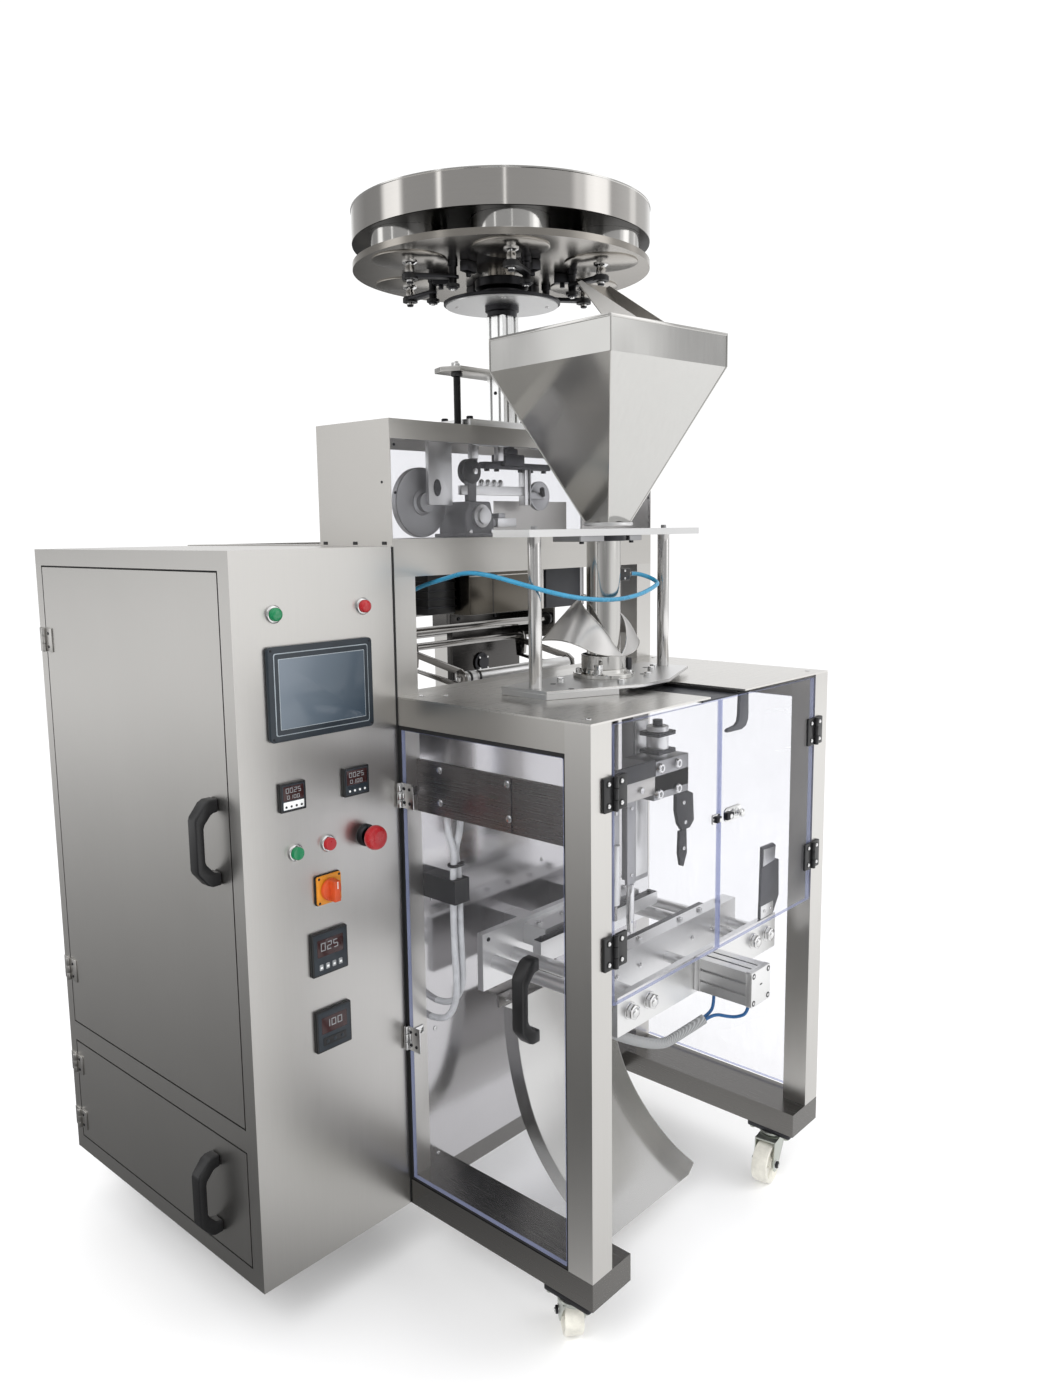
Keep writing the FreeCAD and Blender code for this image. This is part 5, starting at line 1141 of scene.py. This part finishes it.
# cross arm under its shaft
p.add(cyl((400, 101, 1478), (400, 101, 1513), 13), "dark")
p.add(box(370, 430, 82, 120, 1460, 1484, 3, 3), "dark")
p.add(box(384, 416, 88, 114, 1482, 1496, 2, 2), "dark")
p.add(box(324, 520, 91, 111, 1455, 1468, 2, 2), "dark")
for x in (338, 366, 436, 468, 508):
    p.add(hexhead((x, 101, 1455), (0, 0, -1), 10, 5), "dark")
# clevis, link bar and small pulley
p.add(box(440, 450, 92, 110, 1384, 1456, 1.2), "alu")
p.add(box(455, 459, 92, 110, 1384, 1456, 0.8), "alu_dark")
p.add(box(262, 446, 96, 106, 1403, 1421, 1.4), "alu")
for k, x in enumerate((300, 322, 340, 358, 376)):
    p.add(cyl((x, 101, 1420), (x, 101, 1430), 6, seg=24, bev=1), "chrome")
    p.add(dome((x, 101, 1430), (0, 0, 1), 5, 4), "chrome")
p.add(lathe([(0, 0), (5, 0), (5, 3), (22, 3.6), (27, 2), (30, 2.5), (30, 5), (26, 6), (30, 7), (30, 9.5), (27, 10), (22, 8.4), (5, 9), (5, 12), (0, 12)], (499, 101, 1404), (499, 102, 1404), 56), "alu_dark")
p.add(cyl((499, 92, 1404), (499, 101, 1404), 4), "chrome")
p.add(box(449, 503, 95, 100, 1397, 1411, 1.2), "alu_dark")
p.add(cyl((499, 96, 1404), (488, 88, 1418), 5, seg=20), "dark")
# small valve block
p.add(box(345, 400, 80, 118, 1340, 1358, 1.5), "alu")
p.add(box(352, 372, 84, 112, 1358, 1368, 1.5), "alu_dark")
p.add(cyl((400, 99, 1349), (412, 99, 1349), 7, seg=24), "chrome")
p.add(box(326, 346, 84, 114, 1342, 1356, 1.0), "alu_dark")
# upper rails under the lid
p.add(box(262, 360, 60, 76, 1495, 1512.8, 1.5), "alu")
p.add(box(440, 540, 60, 76, 1495, 1512.8, 1.5), "alu")
p.add(box(258, 276, 62, 74, 1470, 1496, 1.5), "alu")
p.add(box(330, 346, 62, 74, 1468, 1496, 1.5), "alu")
# motor of the cup filler and its boxes, hung under the drive box
p.add(box(248, 432, 66, 190, 1172, 1312, 2.5, 2), "brown_steel")
p.add(box(313, 314.2, 65.6, 66.4, 1174, 1311, 0.1), "dark")
p.add(box(249, 431, 65.2, 66.5, 1246, 1248, 0.3), "steel_x")
p.add(box(168, 240, 96, 176, 1176, 1312, 3, 2), "black")
for z in (1190, 1206, 1222, 1238, 1254, 1270, 1286, 1302):
    p.add(box(166.5, 241.5, 94.5, 177.5, z - 2, z + 2, 0.8), "dark")
p.add(box(477, 600, 70, 150, 1172, 1312, 2, 2), "slot_lining")
p.add(box(437, 472, 72, 76, 1172, 1312, 0.8), "steel_v")
p.add(box(588, 600.5, 69.2, 80, 1173, 1311, 0.8), "alu_dark")
p.make("machine", "dark_steel", ["drive_unit"])

# ------------------------------------------------------------------ film shoulder: lower ring and two wings folded from sheet
SX, SY = 337, -190
p = Piece("film_shoulder")
INN = [(-90, 1108), (-67.5, 1126), (-45, 1150), (-22.5, 1169), (0, 1184), (22.5, 1195), (45, 1204), (67.5, 1210), (90, 1213)]
OUT = [(0, -43, 1106), (34, -40, 1110), (66, -30, 1118), (88, -13, 1131), (95, 12, 1138), (96, 38, 1139), (98, 65, 1137), (50, 58, 1176), (4, 47, 1214)]


def cr_(a, b, c, d, t):
    return 0.5 * ((2 * b) + (-a + c) * t + (2 * a - 5 * b + 4 * c - d) * t * t + (-a + 3 * b - 3 * c + d) * t ** 3)


def fine(seq, corner, n=6):
    """Smooth points through seq, with a true corner at index `corner`."""
    out_ = []
    parts = [seq[:corner + 1], seq[corner:]] if corner else [seq]
    for s_ in parts:
        for i in range(len(s_) - 1):
            q0, q1, q2_, q3 = s_[max(i - 1, 0)], s_[i], s_[i + 1], s_[min(i + 2, len(s_) - 1)]
            for k in range(n):
                out_.append(tuple(cr_(q0[j], q1[j], q2_[j], q3[j], k / n) for j in range(3)))
    out_.append(seq[-1])
    return out_


inn3 = [(41 * math.cos(math.radians(d)), 41 * math.sin(math.radians(d)), z) for d, z in INN]
fi, fo_ = fine(inn3, 0), fine(OUT, 6)
NB = 10
for side in (1, -1):
    bm = bmesh.new()
    rows = []
    for i, (a, b) in enumerate(zip(fi, fo_)):
        s_ = i / (len(fi) - 1)
        row = []
        for k in range(NB + 1):
            t = k / NB
            # the wing is rolled: full just off the tube, falling to its free edge
            bulge = 9.0 * math.sin(math.pi * t ** 0.8) * (1 - 0.75 * max(0, (s_ - 0.62) / 0.38)) * (0.35 + 0.65 * min(1, s_ / 0.3))
            x = a[0] + (b[0] - a[0]) * t
            y = a[1] + (b[1] - a[1]) * t
            z = a[2] + (b[2] - a[2]) * t + bulge
            row.append(bm.verts.new((SX + side * x, SY + y, z)))
        rows.append(row)
    for r0, r1 in zip(rows, rows[1:]):
        for k in range(NB):
            vs = (r0[k], r0[k + 1], r1[k + 1], r1[k])
            try:
                bm.faces.new(vs if side > 0 else vs[::-1])
            except ValueError:
                pass
    bmesh.ops.remove_doubles(bm, verts=bm.verts, dist=0.01)
    bmesh.ops.recalc_face_normals(bm, faces=bm.faces)
    up_sum = sum(f.normal.z for f in bm.faces)
    if up_sum < 0:
        bmesh.ops.reverse_faces(bm, faces=bm.faces)
    bm.normal_update()
    top = list(bm.verts)
    ret = bmesh.ops.solidify(bm, geom=bm.faces[:], thickness=1.4)
    p.add(bm, "collar")
    # bright folded edge along the free border
    edge = [(SX + side * x, SY + y, z) for x, y, z in fo_]
    p.add(tube(edge, 1.1, 8, 1), "bright")
p.add(tube([(SX + 41.5 * math.cos(math.radians(d)), SY + 41.5 * math.sin(math.radians(d)), z + 0.6) for d, z in INN] , 1.0, 8, 5), "bright")
p.add(tube([(SX - 41.5 * math.cos(math.radians(d)), SY + 41.5 * math.sin(math.radians(d)), z + 0.6) for d, z in INN], 1.0, 8, 5), "bright")
p.add(lathe([(39.2, 0), (41, 0), (41, 114), (41.6, 115), (41, 116), (39.2, 116), (39.2, 0)], (SX, SY, 992), (SX, SY, 993), 72), "bright")
p.add(lathe([(41, 0), (55, 0), (56, 1), (56, 7), (55, 8), (44, 8), (42.5, 10), (42, 14), (41, 15)], (SX, SY, 1067), (SX, SY, 1068), 72), "bright")
for k in range(4):
    a = math.radians(20 + 90 * k)
    p.add(lathe([(0, 0), (5.2, 0), (5.2, 5), (4.6, 5.6), (2.6, 5.6), (2.6, 3), (0, 3)], (SX + 49 * math.cos(a), SY + 49 * math.sin(a), 1075), (SX + 49 * math.cos(a), SY + 49 * math.sin(a), 1076), 20), "chrome")
p.add(box(SX + 40, SX + 52, SY - 26, SY - 14, 1076, 1098, 1.5), "dark")
p.add(box(SX - 52, SX - 40, SY - 30, SY - 18, 1076, 1094, 1.5), "chrome")
M_COLLAR_DONE = p.make("machine", "stainless_bright", ["forming_collar"], 40)

# sensor on the tube
p = Piece("tube_sensor")
p.add(box(364, 402.6, -202.6, -177.4, 1239.4, 1262.6, 2.0, 3), "black")
p.add(lathe([(0, 0), (10.5, 0), (10.5, 2.4), (0, 2.4)], (402.4, -190, 1251), (403.4, -190, 1251), 32), "brass")
p.add(hexhead((404.6, -190, 1251), (1, 0, 0), 15.5, 5.2), "chrome")
p.add(lathe([(0, 0), (7.3, 0), (7.3, 3.6), (6.4, 4.6), (0, 4.6)], (409.6, -190, 1251), (410.6, -190, 1251), 28), "dark")
for z in (1244, 1258):
    p.add(screw((385, -202.6, z), (0, -1, 0), 2.4, 1.0), "chrome")
p.make("machine", "black_plastic")

# stand: plates, pillars, their screws
p = Piece("stand_machined")


def holed(outline_, hx, hy, hr, z0, z1):
    """Plate with a round hole: two halves that share the cut through the hole."""
    n = 24
    for s_ in (1, -1):
        # split the outline at the line y = hy
        pts = [q_ for q_ in outline_ if (q_[1] - hy) * s_ > 1e-6]
        xs = sorted(q_[0] for q_ in outline_)
        xl, xr = xs[0], xs[-1]
        arc = [(hx + hr * math.cos(math.pi * k / n), hy + s_ * hr * math.sin(math.pi * k / n)) for k in range(n + 1)]
        ring_ = [(xr, hy)] + (sorted([q_ for q_ in pts], key=lambda q_: -q_[0])) + [(xl, hy)] + arc[::-1]
        p.add(extr(ring_ if s_ > 0 else ring_[::-1], "xy", z0, z1, 0, 1), "alu")


holed([(126, -234), (298, -308), (376, -308), (548, -234), (548, -130), (126, -130)], 337, -190, 41.2, 1062, 1067)
p.add(extr([(126, -234), (254, -289), (254, -130), (126, -130)], "xy", 1052.1, 1062, 0.8, 1), "alu")
p.add(box(440, 540, -220, -135, 1052.1, 1062, 0.6), "alu")
p.add(tube([(126, -234, 1066.7), (298, -308, 1066.7), (376, -308, 1066.7), (548, -234, 1066.7)], 0.5, 6, 1), "bright")
holed([(90, -232), (585, -232), (585, -150), (90, -150)], 337, -190, 31.2, 1323, 1335)
p.add(extr(rrect(232, 300, -222, -158, 3), "xy", 1313.2, 1323, 0.8, 1), "alu_dark")
p.add(extr(rrect(374, 412, -222, -158, 3), "xy", 1313.2, 1323, 0.8, 1), "alu_dark")
for x in (148.5, 525.5):
    p.add(cyl((x, -190, 1067), (x, -190, 1323), 11.5, seg=56, bev=0.4), "chrome_soft")
    p.add(lathe([(0, 0), (5.2, 0), (5.2, 5), (4.4, 6), (0, 6)], (x, -190, 1335), (x, -190, 1336), 28), "alu_dark")
for x, y in ((232, -175), (485, -196), (388, -252), (452, -214), (286, -268)):
    p.add(lathe([(0, 0), (6.4, 0), (6.6, 0.6), (6.6, 6.0), (5.6, 7.2), (0, 7.2)], (x, y, 1067), (x, y, 1068), 24), "chrome")
for x, y in ((201, -184), (478, -182), (400, -232), (176, -246)):
    p.add(lathe([(0, 0), (5.2, 0), (5.2, 0.4), (0, 0.4)], (x, y, 1067), (x, y, 1068), 24), "dark")
for x, y in ((250, -210), (394, -210)):
    p.add(hexhead((x, y, 1313), (0, 0, -1), 8, 4), "dark")
p.add(lathe([(31.2, 0), (40, 0), (41, 1), (41, 9.6), (31.2, 9.6)], (SX, SY, 1313.2), (SX, SY, 1314.2), 48), "dark")
p.make("machine", "aluminium", ["tube_stand"])

# ------------------------------------------------------------------ film path
p = Piece("film_rollers_fixed")
for x0, x1 in ((50, 56), (694, 700)):
    p.add(box(x0, x1, 236, 652, 1084, 1176, 1.0), "dark_sheet")
for y, z in ((250, 1128), (330, 1160), (420, 1100)):
    p.add(cyl((56, y, z), (694, y, z), 9, bev=0.6), "chrome_painted_dark_reflection")
    for x in (62, 682):
        p.add(lathe([(9.1, 0), (15, 0), (15, 6), (9.1, 6)], (x, y, z), (x + 1, y, z), 32), "black")
    p.add(lathe([(9.1, 0), (13, 0.4), (13, 9.6), (9.1, 10)], (150, y, z), (151, y, z), 32), "black")
p.add(cyl((56, 298, 1090), (694, 298, 1090), 8, bev=0.6), "chrome_painted_dark_reflection")
for x in (300, 640):
    p.add(extr([(134, 1028), (142, 1020), (160, 1017), (306, 1042), (306, 1048), (180, 1031), (165, 1031), (150, 1026)], "yz", x, x + 8, 0.6), "chrome_painted_dark_reflection")
    p.add(extr([(134, 1028), (150, 1026), (165, 1031), (165, 1048), (150, 1056), (136, 1046)], "yz", x, x + 8, 0.6), "chrome_painted_dark_reflection")
    p.add(extr([(150, 1056), (165, 1048), (180, 1048), (280, 1069), (282, 1048), (306, 1042), (312, 1100), (284, 1100), (280, 1082)], "yz", x, x + 8, 0.6), "chrome_painted_dark_reflection")
    p.add(hexhead((x - 0.2, 150, 1036), (-1, 0, 0), 13, 5), "chrome")
# dark cross plate behind the rollers, with its folded edges, a bearing flange and screws
p.add(box(470, 694, 346, 349, 985, 1176, 0.6), "dark_plate")
p.add(box(470, 694, 349, 364, 985, 988, 0.6), "dark_sheet")
p.add(box(470, 473, 349, 364, 988, 1176, 0.6), "dark_plate")
p.add(lathe([(0, 0), (13, 0), (13, 4), (22, 4), (23, 5), (23, 9), (0, 9)], (560, 337, 1030), (560, 338, 1030), 48), "dark")
for a in range(4):
    p.add(hexhead((560 + 18 * math.cos(0.785 + a * math.pi / 2), 337.4, 1030 + 18 * math.sin(0.785 + a * math.pi / 2)), (0, -1, 0), 5, 2.5), "chrome")
for x in (490, 610, 676):
    p.add(hexhead((x, 345.6, 1136), (0, -1, 0), 8, 3), "dark")
p.make("machine", "stainless_bright", ["film_guide_bars"])
p = Piece("film_roller_detail")
p.add(lathe([(0, 0), (12, 0), (14, 1.5), (14, 28), (13.4, 29), (14, 30), (14, 322.5), (12, 324), (0, 324)], (312, 150, 1036), (313, 150, 1036), 48), "alu")
for x in (318, 344):
    p.add(lathe([(14, 0), (15.4, 0.8), (15.4, 5.2), (14, 6)], (x, 150, 1036), (x + 1, 150, 1036), 48), "black")
p.add(lathe([(7, 0), (13, 0), (13, 3), (7, 3)], (308.8, 150, 1036), (309.8, 150, 1036), 40), "white")
p.add(cyl((300.2, 150, 1036), (647.8, 150, 1036), 6.9), "chrome")
p.make("film_roller", "aluminium", ["film_roller"])


# ------------------------------------------------------------------ guarded chamber: screws and seams on the side beam, the vertical sealer's fittings
p = Piece("side_beam_details")
p.add(box(40.6, 42.2, -229.6, -228.6, 842, 934, 0.1), "dark")
for y, z in ((-220, 923), (-223, 865), (-60, 923), (-60, 865), (-400, 865), (-400, 923)):
    p.add(lathe([(0, 0), (5.5, 0), (6.5, 0.6), (6.5, 1.6), (4.5, 3.4), (0, 3.8)], (42, y, z), (41, y, z), 28), "chrome")
p.add(box(50, 55, -86, -40, 906, 932, 1), "dark")
p.add(box(50, 58, -300, -262, 846, 872, 1), "dark")
p.make("machine", "stainless_sheet")

p = Piece("sealer_machined")
p.add(box(330, 378, -262, -236, 690, 1000, 1.5, 2), "alu_dark")
p.add(box(336, 372, -264.5, -261, 700, 990, 0.6), "alu")
p.add(box(300, 408, -330, -262, 860, 930, 2, 2), "alu_dark")
p.add(box(50, 408, -330, -316, 872, 905, 1.2, 2), "steel_x")
for x, z in ((367, 918), (314, 918), (310, 872), (367, 872)):
    p.add(lathe([(0, 0), (9, 0), (9, 6), (7.6, 8), (4.4, 8), (4.4, 4), (0, 4)], (x, -330, z), (x, -331, z), 32), "chrome")
for x in (120, 190, 260):
    p.add(hexhead((x, -330, 888), (0, -1, 0), 11, 5), "chrome")
# air cylinder of the sealer with its two clamps, on the tie
p.add(cyl((352, -300, 930), (352, -300, 985), 20, seg=40, bev=1.5), "alu")
p.add(cyl((352, -300, 985), (352, -300, 996), 9, seg=28), "dark")
p.add(box(326, 378, -322, -278, 936, 944, 1.2), "dark")
p.add(box(326, 378, -322, -278, 968, 976, 1.2), "dark")
# bracket plate and lower finger
p.add(extr([(376, 860), (408, 860), (430, 850), (434, 798), (420, 786), (396, 786), (384, 800), (376, 826)], "xz", -326, -318, 1.2, 2), "dark")
p.add(extr([(388, 786), (411, 786), (413, 740), (402, 716), (392, 720), (386, 744)], "xz", -325, -319, 1.2, 2), "dark")
p.add(extr([(390, 850), (412, 846), (410, 812), (400, 806), (392, 814)], "xz", -318, -312, 0.8, 2), "alu")
for x, z in ((398, 838), (404, 800), (399, 752)):
    p.add(screw((x, -326, z), (0, -1, 0), 4.2, 2.4), "chrome")
# carrier plates hanging under the tie at the left
p.add(extr(rrect(226, 250, 725, 872, 2), "xz", -327, -321, 0.8), "alu_dark")
p.add(extr(rrect(184, 204, 805, 872, 2), "xz", -327, -321, 0.8), "alu_dark")
p.add(cyl((194, -324, 805), (194, -324, 700), 9, seg=32, bev=1), "alu")
p.add(cyl((194, -324, 700), (194, -324, 672), 4.5, seg=24), "chrome_painted_dark_reflection")
p.add(cyl((238, -324, 725), (238, -324, 640), 7, seg=32, bev=1), "chrome")
for x, z in ((238, 860), (238, 742), (194, 860)):
    p.add(screw((x, -327, z), (0, -1, 0), 3.6, 2.0), "chrome")
p.add(box(176, 300, -334, -330.2, 906, 936, 1.0), "dark")
p.make("machine", "aluminium", ["vertical_sealer"])

# film feed strap in the table slot, with its end hanging inside the doors; lining of the slot
p = Piece("slot_strap")
p.add(box(325, 435, -412, -254, 1040, 1043, 0.6), "slot_lining")
p.add(box(325, 327, -412, -254, 1043, 1049, 0.4), "rubber")
p.add(box(433, 435, -412, -254, 1043, 1049, 0.4), "rubber")
p.add(box(325, 435, -256, -254, 1043, 1049, 0.4), "rubber")
p.add(extr([(446, 1042), (474, 1042), (475, 1003), (474, 992), (467, 981), (452, 976), (404, 977), (402, 981), (409, 984), (432, 986), (441, 992), (444, 1003)], "xz", -413, -406, 1.4, 2), "slot_lining")
p.add(box(434, 476, -414, -400, 1041, 1046, 1), "rubber")
p.make("machine", "black_plastic")

# black bracket on the jaw plate, behind the right door
p = Piece("jaw_plate_bracket")
p.add(extr([(586, 573.5), (637, 573.5), (659, 606), (656, 680), (640, 686), (643, 712), (634, 718), (590, 719)], "xz", -381, -375, 1.2, 2), "slot_lining")
p.add(extr([(592, 680), (636, 684), (638, 710), (594, 714)], "xz", -383, -380.8, 0.6, 1), "alu")
p.add(box(588, 636, -381.6, -374, 574, 600, 0.8), "alu")
for x, z in ((600, 588), (624, 588)):
    p.add(screw((x, -381.6, z), (0, -1, 0), 3.6, 2.2), "chrome")
p.make("machine", "black_plastic")

# ------------------------------------------------------------------ jaws
p = Piece("jaw_bolts")
for x in (159, 213, 558, 609):
    p.add(lathe([(0, 0), (14.6, 0), (15, 0.5), (15, 2.2), (14.4, 2.8), (0, 2.8)], (x, -382, 540), (x, -383, 540), 40), "chrome")
    p.add(hexhead((x, -384.8, 540), (0, -1, 0), 24.5, 9.6), "chrome")
    p.add(dome((x, -394.2, 540), (0, -1, 0), 9.0, 4.0), "chrome")
for x, z in ((140, 590), (250, 590), (384, 590), (518, 590), (612, 590)):
    p.add(screw((x, -74, z), (0, -1, 0), 4, 2), "dark")
p.make("machine", "stainless_bright")

p = Piece("jaw_cylinder_machined")
p.add(extr(slotted(384, 541, 61, (-10.5, 10.5), 4.6, 4.4), "xz", -487, -394, 0.3, 1), "alu")
for y0, y1 in ((-499, -487), (-394, -382.1)):
    p.add(extr(rrect(352, 416, 509, 573, 3.5, 6), "xz", y0, y1, 1.2, 2), "alu")
for sx in (-1, 1):
    for sz in (-1, 1):
        p.add(lathe([(0, 0), (3.0, 0), (3.0, 0.3), (5.2, 0.3), (5.2, 0.6), (0, 0.6)], (384 + 24.5 * sx, -498.6, 541 + 24.5 * sz), (384 + 24.5 * sx, -499.6, 541 + 24.5 * sz), 28), "dark")
        p.add(lathe([(0, 0), (2.2, 0), (2.6, 0.4), (0, 0.4)], (384 + 24.5 * sx, -499.0, 541 + 24.5 * sz), (384 + 24.5 * sx, -500, 541 + 24.5 * sz), 20), "chrome")
p.add(box(380.5, 387.5, -499.5, -498.6, 543.5, 545.6, 0.1), "dark")
p.add(lathe([(0, 0), (5, 0), (5, 7), (3.4, 7.6), (0, 7.6)], (374, -410.2, 510.6), (374, -410.2, 509.6), 24), "dark")
p.add(lathe([(0, 0), (5, 0), (5, 7), (3.4, 7.6), (0, 7.6)], (388, -474, 510.6), (388, -474, 509.6), 24), "dark")
p.make("machine", "aluminium", ["jaw_cylinder"])

# moving jaw: socket screws, screws and a seam on the bar; then the rear jaw: socket screws, heater ends and a seam
p = Piece("front_jaw_details")
for x in (186, 250, 318, 450, 518, 585):
    p.add(lathe([(0, 0), (6, 0), (6, 4), (5.2, 4.8), (3, 4.8), (3, 2.4), (0, 2.4)], (x, -285, 590), (x, -285, 591), 24), "chrome")
for x in (230, 300, 470, 540):
    p.add(screw((x, -300, 552), (0, -1, 0), 5, 3), "chrome")
p.add(box(202, 566, -269.4, -252.6, 584.4, 586.4, 0.5), "dark")
p.make("front_jaw", "aluminium")
p = Piece("rear_jaw_details")
for x in (250, 318, 384, 450, 516):
    p.add(lathe([(0, 0), (6, 0), (6, 4), (5.2, 4.8), (3, 4.8), (3, 2.4), (0, 2.4)], (x, -102, 595), (x, -102, 596), 24), "chrome")
for x in (214, 552):
    p.add(cyl((x, -140, 585), (x, -140, 590), 5, seg=24), "black")
p.add(box(202, 566, -149.6, -131, 584.4, 586.2, 0.5), "dark")
p.make("machine", "aluminium")

# ------------------------------------------------------------------ discharge chute: one smooth curved sheet with turned-up sides
CHP = [(-52, 432), (-55, 385), (-62, 335), (-76, 278), (-97, 221), (-128, 170), (-167, 126), (-205, 94), (-246, 68), (-291, 49)]


def fine2(seq, n=6):
    out_ = []
    for i in range(len(seq) - 1):
        q0, q1, q2_, q3 = seq[max(i - 1, 0)], seq[i], seq[i + 1], seq[min(i + 2, len(seq) - 1)]
        for k in range(n):
            out_.append(tuple(cr_(q0[j], q1[j], q2_[j], q3[j], k / n) for j in range(2)))
    out_.append(seq[-1])
    return out_


def off2(pts, d):
    o_ = []
    for i, (a, b) in enumerate(pts):
        p0, p1 = pts[max(i - 1, 0)], pts[min(i + 1, len(pts) - 1)]
        dx, dz = p1[0] - p0[0], p1[1] - p0[1]
        n_ = math.hypot(dx, dz)
        o_.append((a + d * dz / n_, b - d * dx / n_))
    return o_


CF = fine2(CHP)


def ribbon(pts, d, x0, x1):
    """Closed solid between a curve and its offset, swept across x0..x1."""
    bm = bmesh.new()
    a, b = pts, off2(pts, d)
    rows = [[bm.verts.new((x, y, z)) for (y, z) in c] for x in (x0, x1) for c in (a, b)]
    n_ = len(pts)
    for i in range(n_ - 1):
        for r0, r1 in ((rows[0], rows[1]), (rows[1], rows[3]), (rows[3], rows[2]), (rows[2], rows[0])):
            bm.faces.new((r0[i], r0[i + 1], r1[i + 1], r1[i]))
    for i in (0, n_ - 1):
        bm.faces.new((rows[0][i], rows[1][i], rows[3][i], rows[2][i]))
    bmesh.ops.recalc_face_normals(bm, faces=bm.faces)
    return bm


p = Piece("chute_sheet_smooth")
p.add(ribbon(CF, 2, 201, 479), "chute")
p.add(ribbon(CF, 34, 200, 201.6), "chute")
p.add(ribbon(CF, 34, 478.4, 480), "chute")
for x in (200.8, 479.2):
    p.add(tube([(x, y, z) for y, z in off2(CF, 33.6)], 0.9, 6, 1), "bright")
p.add(box(240, 440, -53, 0, 424.2, 427, 0.4), "steel_x")
p.add(box(240, 440, -3, -0.1, 400, 427, 0.3), "steel_x")
for x in (262, 340, 418):
    p.add(screw((x, -3, 412), (0, -1, 0), 4.5, 2.4), "chrome")
    p.add(screw((x, -30, 427), (0, 0, 1), 4.5, 2.4), "chrome")
p.make("machine", "stainless_bright", ["discharge_chute"], 50)

# feed chute: stiffened edges
p = Piece("feed_chute_details")


def fadd(bm, mat):
    p.add(place_bm(bm, HM), mat)


fadd(tube([(-4.6, 70, 1775.4), (-4.6, -44, 1652.6)], 0.9, 8, 1), "bright")
fadd(tube([(69.6, 70, 1775.4), (69.6, -44, 1652.6)], 0.9, 8, 1), "bright")
p.make("machine", "stainless_sheet")

# table: bolt heads
p = Piece("table_details")
for x, y in ((30, -400), (30, -30), (720, -400), (720, -30), (60, -60)):
    p.add(lathe([(0, 0), (4.6, 0), (4.6, 0.8), (3.6, 1.6), (0, 1.6)], (x, y, 1052), (x, y, 1053), 24), "chrome")
p.make("machine", "stainless_sheet")

# tie round the two chamber hoses, screws of the back sheet
p = Piece("chamber_hose_tie")
p.add(extr(rrect(53.5, 86.5, -76.8, -55.2, 9, 8), "xy", 746, 751, 0.8, 1), "black")
p.make("machine", "black_plastic")
p = Piece("back_sheet_screws")
for x in (70, 375, 680):
    for z in (170, 420, 670, 920):
        if x != 375 or z > 450:
            p.add(screw((x, -0.1, z), (0, -1, 0), 4.2, 1.8), "chrome")
            p.add(hexhead((x, 3.1, z), (0, 1, 0), 10, 4), "chrome")
p.make("machine", "stainless_sheet")
